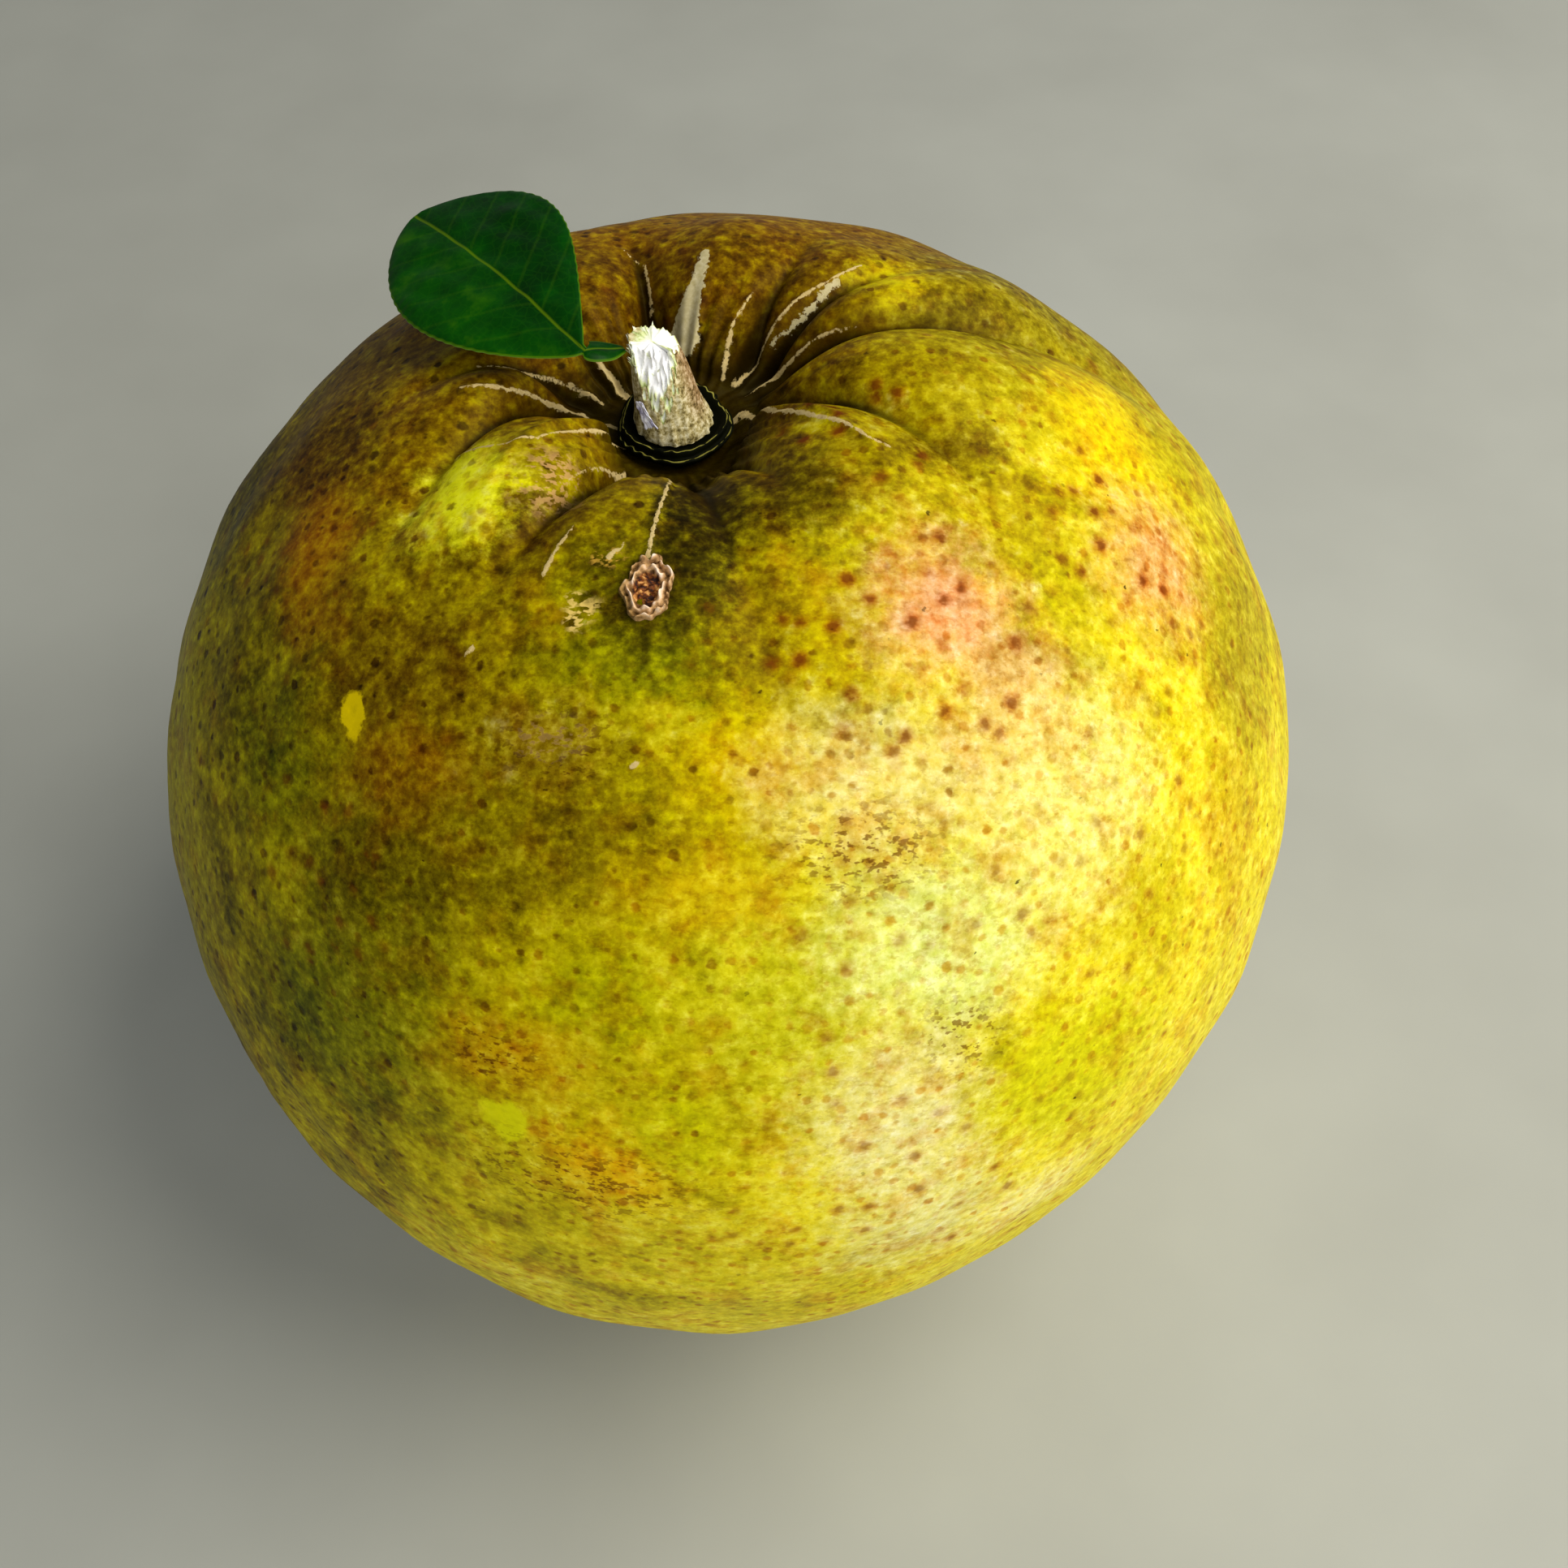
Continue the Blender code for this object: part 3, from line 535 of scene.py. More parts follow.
# Dark and bright places close to the stem, given in the same way, which lie over the dimple's brown.
# The dark ones are painted shade: in the valleys, hollows and lobe feet of the dimple, on the crest of
# the left lobe where the lamp falls strongest, and on the left shoulder
NEAR_PATCHES = (
    ("left_wall", (-14, -3, 63), (4, 5, 5), "#a08000", 0.75, 0.7),
    ("left_shade", (-46, 0, 60), (7, 8, 6), "#3c2800", 0.75, 0.7),
    ("back_shade", (-6, 23, 66), (24, 7, 8), "#4c3000", 0.55, 0.5),
    ("lobe_foot_painted_shade", (-21, -19, 69), (5, 4, 4), "#4c3000", 0.85, 0.6),
    ("lobe_crest", (-29, -15, 68), (6, 5, 5), "#ecec14", 0.85, 0.55),
    ("lobe_side_painted_shade", (-20, -9, 70), (5, 4, 4), "#8a7800", 0.75, 0.7),
    ("brown_right_painted_shade", (24, -9, 70), (6, 4, 4), "#5c4000", 0.8, 0.6),
    ("valley_low_painted_shade", (2, -33, 67), (6, 6, 6), "#665400", 0.75, 0.7),
    ("valley_right_painted_shade", (7, -17, 70), (6, 6, 6), "#3c2c00", 0.75, 0.6),
    ("front_valley_painted_shade", (-3, -20, 68), (5, 11, 9), "#161000", 0.92, 0.45),
    ("scab_shade", (-9, -29, 68), (8, 7, 6), "#342c00", 0.88, 0.5),
)
# Small pale places where the outer skin never coloured, with crisp edges
PALE_MARKS = (
    ("pale_left_mark", (-40, -34, 54), (1.4, 3.0, 2.2), "#ecd000", 0.72, 0.18),
    ("pale_low_mark", (-24, -67, 25), (3.2, 2.4, 3.0), "#d8d804", 0.72, 0.18),
)
# Places with a fine dark speckle, and places where old glands stand close
SPECKLED = (
    ("smudge", (14, -52, 54), (8.5, 4.5, 5.0)),
    ("grey_speckle", (25, -62, 35), (5.0, 3.0, 6.0)),
    ("rust_speckle", (-16, -70, 18), (14.0, 6.0, 6.0)),
    ("left_speckle", (-25, -63, 33), (5.0, 4.0, 4.0)),
    ("crust_speckle", (-18, -43, 60), (7.0, 4.0, 4.0)),
)
SPOTTED = (
    ("blush_spots", (18, -33, 64), (20, 14, 12)),
    ("right_spots", (44, -12, 59), (12, 14, 12)),
    ("valley_spots", (14, -8, 71), (12, 10, 6)),
)
# Pale crumbly crust: place, half lengths, colour and share
CRUSTED = (
    ("lobe_crust", (-19, -14, 69), (3.6, 4.2, 4.0), "#c89c60", 0.65),
    ("scab_crumbs", (-15.5, -31, 67), (1.9, 1.6, 1.6), "#e4c468", 0.9),
    ("scab_flakes", (-12, -25.5, 69), (1.6, 1.2, 1.2), "#c89c38", 0.8),
    ("low_crust", (-18, -42, 60), (3.4, 2.2, 2.2), "#cca858", 0.3),
)

# A tint that stains what it lies on, and a range with soft ends. A range's inputs in their order are a
# value, its two ends and what these become, which is 0 and 1 where nothing else is given.
STAIN = {"data_type": "RGBA", "blend_type": "MULTIPLY"}
SOFT = {"interpolation_type": "SMOOTHSTEP"}


def patch_share(add, where, centre, half_lengths, softness, share):
    """How much of a patch shows: share inside the half lengths round its centre, and none outside."""
    scaled = tuple(1.0 / half for half in half_lengths)
    offset = tuple(-place / half for place, half in zip(centre, half_lengths))
    apart = add("VectorMath", (where, scaled, offset), operation="MULTIPLY_ADD")
    apart = add("VectorMath", (apart,), operation="LENGTH").outputs["Value"]
    return add("MapRange", (apart, 1.0 + softness, 1.0 - softness, 0.0, share), **SOFT)


def lay_patches(add, skin, where, patches):
    """Lays coloured patches over the skin, each over the ones before it."""
    for name, centre, half_lengths, colour, share, softness in patches:
        inside = patch_share(add, where, centre, half_lengths, softness, share)
        skin = add("Mix", (inside, skin, colour), label=name, **COLOUR)
    return skin


# Waxed rind: satin, a soft yellowish highlight over the coloured peel, with shallow pits at the glands
rind, add, shader, place = new_material("waxed_citrus_rind")
place = add("VectorMath", (place, 1.0 / MM), operation="SCALE")
body_place = add("VectorMath", (place, (0.0, 0.0, MID_HEIGHT)), operation="SUBTRACT")
level = add("VectorMath", (body_place, FLECK_SHAPE), operation="MULTIPLY")
stem_distance, hollow, crease, cork_gap, scar_gap = [
    add("Attribute", attribute_name=fact).outputs["Fac"]
    for fact in ("stem_distance", "hollow", "crease", "cork_gap", "scar_gap")
]
flow = add("Attribute", attribute_name="flow").outputs["Vector"]
drift, mottle, grain, clot, wander, ragged, speck = [
    add("TexNoise", (level if cloud == FLECK else body_place, 1.0 / cloud[0], *cloud[1:]))
    for cloud in (DRIFT, MOTTLE, GRAIN, CLOT, WANDER, RAGGED, FLECK)
]
mottle_parts, grain_parts, speck_parts = [
    add("SeparateColor", (noise.outputs["Color"],)).outputs for noise in (mottle, grain, speck)
]

# Ground colour: paler towards the side that had the sun, and uneven from place to place
sunny = tuple(SUNNY_SIDE * SUN_SHARE / HALF_WIDTH)
tone = add("VectorMath", (body_place, sunny), operation="DOT_PRODUCT").outputs["Value"]
for cloud, share in ((drift, 0.8), (mottle, 0.9)):
    tone = add("Math", (cloud, share, tone), operation="MULTIPLY_ADD")
tone = add("Math", (tone, 0.29), operation="SUBTRACT")
skin = add("ValToRGB", (tone,), stops=GROUND)

# Patches with wandering edges
warp = add("VectorMath", (wander.outputs["Color"], (0.5, 0.5, 0.5)), operation="SUBTRACT")
wide_warp, fine_warp = [
    add("VectorMath", (warp, (far, far, far), body_place), operation="MULTIPLY_ADD")
    for far in (WIDE_WANDER, FINE_WANDER)
]
skin = lay_patches(add, skin, wide_warp, PATCHES)

# Dimple: brown and streaked towards the stem, from about 30 mm off its axis inwards
streak = add("TexNoise", (flow, 9.0, 4.0, 0.65))
ragged_distance = add("Math", (streak, 24.0, stem_distance), operation="MULTIPLY_ADD")
near_stem = add("MapRange", (ragged_distance, 42.0, 26.0, 0.0, 0.75), **SOFT)
skin = add("Mix", (near_stem, skin, "#6a4a00"), **COLOUR)
streaked = add("MapRange", (streak, 0.36, 0.62, 0.55, 1.35))
streaked = add("VectorMath", (skin, streaked), operation="SCALE")
skin = add("Mix", (near_stem, skin, streaked), **COLOUR)
skin = lay_patches(add, skin, wide_warp, NEAR_PATCHES)

# Mottling: brown clouds, then a fine watery grain that is stronger where the skin is darker, and coarser
# clots on the top of the fruit
brown_cloud = add("MapRange", (mottle_parts["Green"], 0.50, 0.66, 0.0, 0.6), **SOFT)
skin = add("Mix", (brown_cloud, skin, "#e6c090"), **STAIN)
shade = add("MapRange", (grain, 0.28, 0.72, 0.86, 1.16))
skin = add("VectorMath", (skin, shade), operation="SCALE")
skin = add("Gamma", (skin, add("MapRange", (grain_parts["Blue"], 0.25, 0.75, 1.475, 0.525))))
clotted = add("Gamma", (skin, add("MapRange", (clot, 0.30, 0.70, 1.7, 0.3))))
on_top = add("MapRange", (stem_distance, 62.0, 34.0, 0.0, 0.35), **SOFT)
skin = add("Mix", (on_top, skin, clotted), **COLOUR)

# Flecks: small flat blotches with crisp edges, some darker and browner and some paler than the skin
dark_fleck = add("MapRange", (speck_parts["Green"], 0.55, 0.60, 0.0, 0.45), **SOFT)
skin = add("Mix", (dark_fleck, skin, "#dcccb0"), **STAIN)
pale_fleck = add("MapRange", (speck_parts["Blue"], 0.56, 0.61, 0.0, 0.55), **SOFT)
skin = add("Mix", (pale_fleck, skin, add("Gamma", (skin, 0.84))), **COLOUR)

# Oil glands: a soft dot in most cells, browner than the ground, and darker where the ground is dark
jitter, old_jitter = [
    add("VectorMath", (speck.outputs["Color"], (far, far, far), body_place), operation="MULTIPLY_ADD")
    for far in (GLAND_WANDER, OLD_GLAND_WANDER)
]
glands = add("TexVoronoi", {"Vector": jitter, "Scale": 1.0 / GLAND_SPACING, "Randomness": 0.55})
gland_parts = add("SeparateColor", (glands.outputs["Color"],)).outputs
gland_reach = add("Math", (gland_parts["Green"], 0.16, glands.outputs["Distance"]), operation="MULTIPLY_ADD")
dot = add("MapRange", (gland_reach, 0.42, 0.22), **SOFT)
dot_strength = add("MapRange", (gland_parts["Red"], 0.0, 1.0, 0.35))
dot = add("Math", (dot, dot_strength), operation="MULTIPLY")
dot_tint = add("ValToRGB", (tone,), stops=((0.30, "#6a5228"), (0.70, "#e2bc80")))
skin = add("Mix", (dot, skin, dot_tint), **STAIN)

# Old glands: larger, with a stained halo and dried dark in the middle
spotted = add("MapRange", (drift, 0.46, 0.62, 0.06, 0.6))
for name, centre, half_lengths in SPOTTED:
    inside = patch_share(add, wide_warp, centre, half_lengths, 0.5, 1.0)
    spotted = add("Math", (spotted, inside), operation="MAXIMUM", label=name)
old = add("TexVoronoi", {"Vector": old_jitter, "Scale": 1.0 / OLD_GLAND_SPACING, "Randomness": 0.9})
for start, full, most, colour, blend in (
    (0.42, 0.10, 0.9, "#cf9058", STAIN),
    (0.22, 0.09, 0.7, "#642a04", COLOUR),
):
    shown = add("MapRange", (old.outputs["Distance"], start, full, 0.0, most), **SOFT)
    shown = add("Math", (shown, spotted), operation="MULTIPLY")
    skin = add("Mix", (shown, skin, colour), **blend)
skin = lay_patches(add, skin, fine_warp, PALE_MARKS)

# Fine dark speckle in its places, pale crusts, and tiny dark specks anywhere
specked = 0.0
for name, centre, half_lengths in SPECKLED:
    inside = patch_share(add, fine_warp, centre, half_lengths, 0.7, 0.85)
    specked = add("Math", (specked, inside), operation="MAXIMUM", label=name)
speckle = add("MapRange", (speck, 0.53, 0.61), **SOFT)
speckle = add("Math", (speckle, specked), operation="MULTIPLY")
skin = add("Mix", (speckle, skin, "#94704c"), **STAIN)
crumb = add("MapRange", (speck, 0.50, 0.58), **SOFT)
for name, centre, half_lengths, colour, share in CRUSTED:
    inside = patch_share(add, fine_warp, centre, half_lengths, 0.5, share)
    crusted = add("Math", (crumb, inside), operation="MULTIPLY")
    skin = add("Mix", (crusted, skin, colour), label=name, **COLOUR)
single = add("TexVoronoi", {"Vector": old_jitter, "Scale": 1.0 / SPECK_SPACING})
single_parts = add("SeparateColor", (single.outputs["Color"],)).outputs
single_dot = add("MapRange", (single.outputs["Distance"], 0.065, 0.035, 0.0, 0.85), **SOFT)
single_dot = add("Math", (single_dot, single_parts["Red"]), operation="MULTIPLY")
skin = add("Mix", (single_dot, skin, "#2c1800"), **COLOUR)

# Painted shade in the furrows, in the moat round the stem and along the creases: where it starts and
# where it is full (mm), how much shows, and its colour
for value, start, full, most, colour in (
    (hollow, 0.8, 6.0, 0.8, "#3c2800"),
    (stem_distance, 15.0, 8.0, 0.92, "#1c1400"),
    (crease, 0.5, 3.2, 0.8, "#120a00"),
):
    shown = add("MapRange", (value, start, full, 0.0, most), **SOFT)
    skin = add("Mix", (shown, skin, colour), **COLOUR)

# Scars, wide, thin and silvery, and then cork, tan, dry and broken: how ragged the edge is, where it
# starts and where it is full (mm), how much shows, and the darkest and palest colour
for gap, torn, start, full, most, dark, pale in (
    (scar_gap, 1.8, 0.90, 0.72, 0.9, "#94843c", "#e6dcb4"),
    (cork_gap, 0.8, 0.43, 0.31, 1.0, "#8c6c1c", "#f0dca0"),
):
    edge = add("Math", (ragged, torn, gap), operation="MULTIPLY_ADD")
    shown = add("MapRange", (edge, start, full, 0.0, most), **SOFT)
    marked = add("Mix", (ragged, dark, pale), **COLOUR)
    skin = add("Mix", (shown, skin, marked), **COLOUR)

pit = add("MapRange", (glands.outputs["Distance"], 0.0, 0.45), **SOFT)
bump = add("Bump", {"Height": pit, "Strength": 0.35, "Distance": PIT_DEPTH * MM})
gloss = add("MapRange", (mottle, 0.0, 1.0, 0.42, 0.56))
set_inputs(shader, {
    "Base Color": skin, "Normal": bump, "Roughness": gloss, "IOR": 1.38, "Specular IOR Level": 0.11,
    "Specular Tint": "#f4e890",
})

fruit = add_piece("fruit_rind", skin_points, skin_faces, rind, skin_facts)
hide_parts("fruit")

# Scab: a blister of dried cork where the skin was once hurt. Its flaky rim stands up round a dark hollow
# with crumbs in it, and a thin brown flap lies outside the rim on the left.
SCAB_AZIMUTH = math.radians(-99.0)
SCAB_DISTANCE = 32.5
SCAB_RADIUS = 2.45
SCAB_STRETCH = 1.42
SCAB_RIM = 0.66
SCAB_RIM_HEIGHT = 0.8
SCAB_SEGMENTS = 240
SCAB_RINGS = 64
SCAB_FLAP_SIDE = math.radians(200.0)
# Size of the crumbs of cork
SCAB_CRUMB = 0.6
# Lobes of the rim: direction (degrees, 0 to the right and 90 away from the stem), spread and reach
SCAB_LOBES = (
    (72.0, 13.0, 0.30),
    (112.0, 17.0, 0.26),
    (32.0, 15.0, 0.26),
    (181.0, 13.0, 0.34),
    (-25.0, 22.0, 0.10),
    (-120.0, 25.0, 0.08),
)


def ring_grid(segments, rings):
    """Angle round and share of the way along, at each point of a stack of equal rings."""
    round_angles = np.arange(segments) * 2.0 * math.pi / segments
    return np.meshgrid(round_angles, np.linspace(0.0, 1.0, rings), indexing="xy")


def stack_faces(rings, segments):
    """Faces round a stack of equal rings, seen from outside when the first ring is the lowest."""
    rows = [list(range(i * segments, (i + 1) * segments)) for i in range(rings)]
    return [face for low, high in zip(rows, rows[1:]) for face in ring_faces(high, low)]


def skin_frame(azimuth, distance):
    """A place on the top of the skin: its point, outward normal and the directions across and outwards."""
    low, high = 0.0, math.radians(60.0)
    for _ in range(40):
        polar = 0.5 * (low + high)
        near = plain_skin(np.array(polar), np.array(azimuth))[1] < distance
        low, high = (polar, high) if near else (low, polar)
    step = 0.02
    at = fruit_skin(np.array(polar), np.array(azimuth))[0]
    out = Vector(fruit_skin(np.array(polar + step), np.array(azimuth))[0] - at).normalized()
    across = Vector(fruit_skin(np.array(polar), np.array(azimuth + step))[0] - at).normalized()
    normal = out.cross(across).normalized()
    return np.array(at), np.array(normal), np.array(across), np.array(normal.cross(across))


centre, normal, across, out = skin_frame(SCAB_AZIMUTH, SCAB_DISTANCE)
turn, share = ring_grid(SCAB_SEGMENTS, SCAB_RINGS)
lobe = 1.0 + 0.035 * ripples(around(turn, 3.0), 1.5, seed=14) * smooth_step(0.3, 1.0, share)
for side, spread, reach in SCAB_LOBES:
    away = turned(turn - math.radians(side)) / math.radians(spread)
    lobe = lobe + reach * bell(away) * smooth_step(0.45, 0.95, share)
flap = bell(turned(turn - SCAB_FLAP_SIDE) / 0.9) * smooth_step(0.72, 0.85, share)
radius = SCAB_RADIUS * share * lobe
flat = around(turn, radius) * np.array([1.0, SCAB_STRETCH, 1.0])
crumble = ripples(flat + 5.0, 0.9, seed=11, count=24)
flaky = ripples(flat + 9.0, 1.3, seed=12, count=24)
rim = bell((share - SCAB_RIM + 0.03 * flaky) / 0.09) * (1.0 + 0.35 * flaky)
second_rim = bell((share - 0.88) / 0.07) * (0.55 + 0.35 * ripples(flat, 1.1, seed=13))
second_rim = second_rim * (1.0 - 0.5 * flap)
rise = 0.22 + SCAB_RIM_HEIGHT * rim + second_rim + 0.14 * crumble - 1.1 * smooth_step(0.90, 1.0, share)
scab_points = centre + flat[..., :1] * across + flat[..., 1:2] * out + rise[..., None] * normal
scab_points = scab_points.reshape(-1, 3)
# The rings go from the middle outwards and down, so their faces are turned over
scab_faces = [face[::-1] for face in stack_faces(SCAB_RINGS, SCAB_SEGMENTS)]

# Dried cork: matt and crumbly, pale on what stands up, and dark brown in the hollow
scab_cork, add, shader, place = new_material("dried_cork_scab")
hollow, flapped, proud = [
    add("Attribute", attribute_name=fact).outputs["Fac"] for fact in ("hollow", "flap", "proud")
]
crumbs = add("TexNoise", (place, 1.0 / (SCAB_CRUMB * MM), 4.0))
worn = add("Math", (crumbs, 0.7, proud), operation="MULTIPLY_ADD")
pale_cork = add("ValToRGB", (worn,), stops=((0.36, "#5c3c10"), (0.60, "#c49a64"), (0.90, "#f4dcc0")))
brown_stops = ((0.42, "#2c0e02"), (0.54, "#80440e"), (0.66, "#d09850"))
dark_cork = add("ValToRGB", (crumbs,), stops=brown_stops)
colour = add("Mix", (flapped, pale_cork, "#8c6c2c"), **COLOUR)
colour = add("Mix", (hollow, colour, dark_cork), **COLOUR)
set_inputs(shader, {"Base Color": colour, "Roughness": 0.75, "Specular IOR Level": 0.3})
scab_facts = {
    "hollow": smooth_step(SCAB_RIM - 0.05, SCAB_RIM - 0.14, share + 0.02 * crumble).ravel(),
    "flap": 0.7 * flap.ravel(),
    "proud": (0.45 * np.maximum(rim, second_rim)).ravel(),
}
add_piece("cork_scab", scab_points, scab_faces, scab_cork, scab_facts)

# Calyx: the collar of five dry green sepals that held the flower. They have grown into a ring that sits
# in the bottom of the dimple, with a worn rim and a hollow that holds the stem.
CALYX_GAP = 0.3
CALYX_RADIUS = 6.4
CALYX_HEIGHT = 2.6
CALYX_RECESS_RADIUS = 4.75
CALYX_RECESS_DEPTH = 0.9
CALYX_LOBES = 5
CALYX_SPREAD = 0.3
CALYX_LIFT = 0.22
CALYX_LIP_HEIGHT = 1.65
CALYX_SEGMENTS = 240
# Size of the blotches on the sepals
SEPAL_BLOTCH = 1.6
calyx_centre = np.array([DIMPLE_X, DIMPLE_Y, SEAT_HEIGHT + CALYX_GAP])
calyx_floor = CALYX_HEIGHT - CALYX_RECESS_DEPTH
CALYX_PROFILE = (
    # radius, height and how much the lobes show there
    (CALYX_RADIUS - 1.5, 0.0, 0.0),
    (CALYX_RADIUS - 0.6, 0.25, 0.5),
    (CALYX_RADIUS - 0.1, 0.7, 1.0),
    (CALYX_RADIUS + 0.25, 1.3, 1.2),
    (CALYX_RADIUS + 0.35, 1.6, 1.2),
    (CALYX_RADIUS + 0.05, CALYX_LIP_HEIGHT, 1.0),
    (CALYX_RADIUS - 0.35, 1.5, 0.9),
    (CALYX_RADIUS - 0.45, 1.9, 0.9),
    (CALYX_RADIUS - 0.25, CALYX_HEIGHT, 0.9),
    (CALYX_RADIUS - 0.45, CALYX_HEIGHT + 0.1, 0.9),
    (CALYX_RADIUS - 0.75, CALYX_HEIGHT, 0.7),
    (CALYX_RECESS_RADIUS + 0.5, CALYX_HEIGHT - 0.5, 0.4),
    (CALYX_RECESS_RADIUS + 0.2, calyx_floor, 0.2),
    (0.0, calyx_floor, 0.0),
)
turn = np.arange(CALYX_SEGMENTS) * 2.0 * math.pi / CALYX_SEGMENTS
calyx_points, calyx_edges = [], []
for radius, height, lobed in CALYX_PROFILE:
    lobe = 0.7 * lobed * np.cos(CALYX_LOBES * turn + 0.7)
    ring = around(turn, radius + CALYX_SPREAD * lobe, height + CALYX_LIFT * lobe * height / CALYX_HEIGHT)
    if radius > 0.0:
        ring += 0.05 * lobed * ripples(ring, 1.6, seed=5)[..., None] * np.array([1.0, 1.0, 0.8])
    calyx_points.append(calyx_centre + ring)
    calyx_edges.append(np.full(CALYX_SEGMENTS, float(height > CALYX_HEIGHT or height == CALYX_LIP_HEIGHT)))
calyx_faces = [tuple(reversed(range(CALYX_SEGMENTS))), *stack_faces(len(CALYX_PROFILE), CALYX_SEGMENTS)]

# Dry sepals: matt and nearly black green, worn to straw along the rims
sepal, add, shader, place = new_material("dry_green_sepal")
rim = add("Attribute", attribute_name="rim").outputs["Fac"]
blotch = add("TexNoise", (place, 1.0 / (SEPAL_BLOTCH * MM), 4.0))
body_green = add("Mix", (blotch, "#010200", "#0e1000"), **COLOUR)
edge = add("Math", (rim, blotch), operation="MULTIPLY")
edge = add("MapRange", (edge, 0.36, 0.48, 0.0, 0.8), **SOFT)
colour = add("Mix", (edge, body_green, "#9a9440"), **COLOUR)
set_inputs(shader, {"Base Color": colour, "Roughness": 0.7, "Specular IOR Level": 0.05})
calyx = add_piece("calyx_collar", np.concatenate(calyx_points), calyx_faces, sepal,
                  {"rim": np.concatenate(calyx_edges)})
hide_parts("calyx")

# Stem stub: green wood in thin speckled bark, grown out of the calyx's hollow. It was cut on a slant and
# torn, so the pale wood shows and fibres stand out along the cut.
STEM_GAP = 0.3
STEM_BASE_RADIUS = 4.25
STEM_TOP_RADIUS = 2.7
STEM_HEIGHT = 11.6
STEM_LEAN = np.array([-2.2, 0.4, 0.0])
STEM_SEGMENTS = 168
STEM_RINGS = 120
# Speckles of the bark and how rough it is. Real wood fibres are under 0.1 mm thick, and bundles of them
# are drawn, because single ones would not show.
BARK_SPECKLE = 0.7
BARK_ROUGHNESS = 0.2
WOOD_FIBRE = 0.8
stem_base = calyx_centre + np.array([0.0, 0.0, calyx_floor + STEM_GAP])
STEM_CUTS = (
    # a point on the cut from the stem's foot, and the way that the cut face looks
    ((0.0, -3.6, 5.0), (-0.16, -0.92, 0.38)),
    ((-2.0, 1.0, 11.2), (0.25, 0.1, 0.96)),
)
turn, share = ring_grid(STEM_SEGMENTS, STEM_RINGS)
radius = STEM_BASE_RADIUS + (STEM_TOP_RADIUS - STEM_BASE_RADIUS) * share + 0.3 * bell(share / 0.18)
fibre = ripples(around(turn, 9.0, share * 3.0), 2.2, seed=7, count=24)
radius = np.minimum(radius, CALYX_RECESS_RADIUS - STEM_GAP) * (1.0 + 0.02 * fibre)
stem_run = STEM_LEAN + np.array([0.0, 0.0, STEM_HEIGHT])
stem_points = stem_base + around(turn, radius) + share[..., None] * stem_run
stem_points = np.concatenate([stem_points, np.tile(stem_base + stem_run, (1, STEM_SEGMENTS, 1))])
cut_depth = np.zeros(stem_points.shape[:-1])
torn = ripples(stem_points * np.array([3.0, 3.0, 0.6]), 1.7, seed=8, count=24)
for through, facing in STEM_CUTS:
    facing = np.array(facing) / np.linalg.norm(facing)
    proud = (stem_points - stem_base - np.array(through)) @ facing
    pushed = np.maximum(proud - 0.25 * torn, 0.0)
    stem_points = stem_points - pushed[..., None] * facing
    cut_depth = np.maximum(cut_depth, pushed)
stem_points = stem_points.reshape(-1, 3)
stem_faces = [tuple(reversed(range(STEM_SEGMENTS))), *stack_faces(STEM_RINGS + 1, STEM_SEGMENTS)]

# Torn fibres: thin pale slivers left standing along the left and top edges of the cut. Each has a
# foot and a middle of three points, and a tip, and its side, height, way and thickness are drawn.
FIBRE_COUNT = 34
FIBRE_LENGTH = 1.5
FIBRE_THICKNESS = 0.16
draw = np.random.default_rng(31)
fibre_points, fibre_faces = [], []
for _ in range(FIBRE_COUNT):
    side = math.radians(draw.uniform(95.0, 275.0))
    height = draw.uniform(0.72, 0.93)
    column = int(side / (2.0 * math.pi) * STEM_SEGMENTS)
    foot = stem_points[int(height * STEM_RINGS) * STEM_SEGMENTS + column]
    outward = around(side)
    way = np.array([0.0, 0.0, 1.0]) + outward * draw.uniform(0.0, 0.5) + draw.normal(size=3) * 0.25
    way = way / np.linalg.norm(way)
    length = FIBRE_LENGTH * draw.uniform(0.4, 1.0)
    beside = np.cross(way, outward)
    beside = beside / np.linalg.norm(beside)
    base = len(stem_points) + len(fibre_points)
    thick = FIBRE_THICKNESS * draw.uniform(0.7, 1.3)
    foot = foot - 0.1 * outward
    middle = foot + way * length * 0.6 + outward * 0.1
    for centre, width in ((foot, thick), (middle, thick * 0.8)):
        fibre_points += [centre + corner * width for corner in (beside, outward, -beside)]
    fibre_points.append(foot + way * length + outward * 0.25)
    for k in range(3):
        after = (k + 1) % 3
        fibre_faces.append((base + k, base + 3 + k, base + 3 + after, base + after))
        fibre_faces.append((base + 3 + k, base + 6, base + 3 + after))
    fibre_faces.append((base, base + 1, base + 2))
stem_points = np.concatenate([stem_points, np.array(fibre_points)])
stem_faces += fibre_faces
cut_fact = np.concatenate([cut_depth.ravel(), np.full(len(fibre_points), 0.3)])
rust_fact = 0.7 * smooth_step(0.3, 1.0, np.cos(turn - 0.2)) * smooth_step(0.05, 0.35, share)
rust_fact = np.concatenate([rust_fact.ravel(), np.zeros(STEM_SEGMENTS + len(fibre_points))])

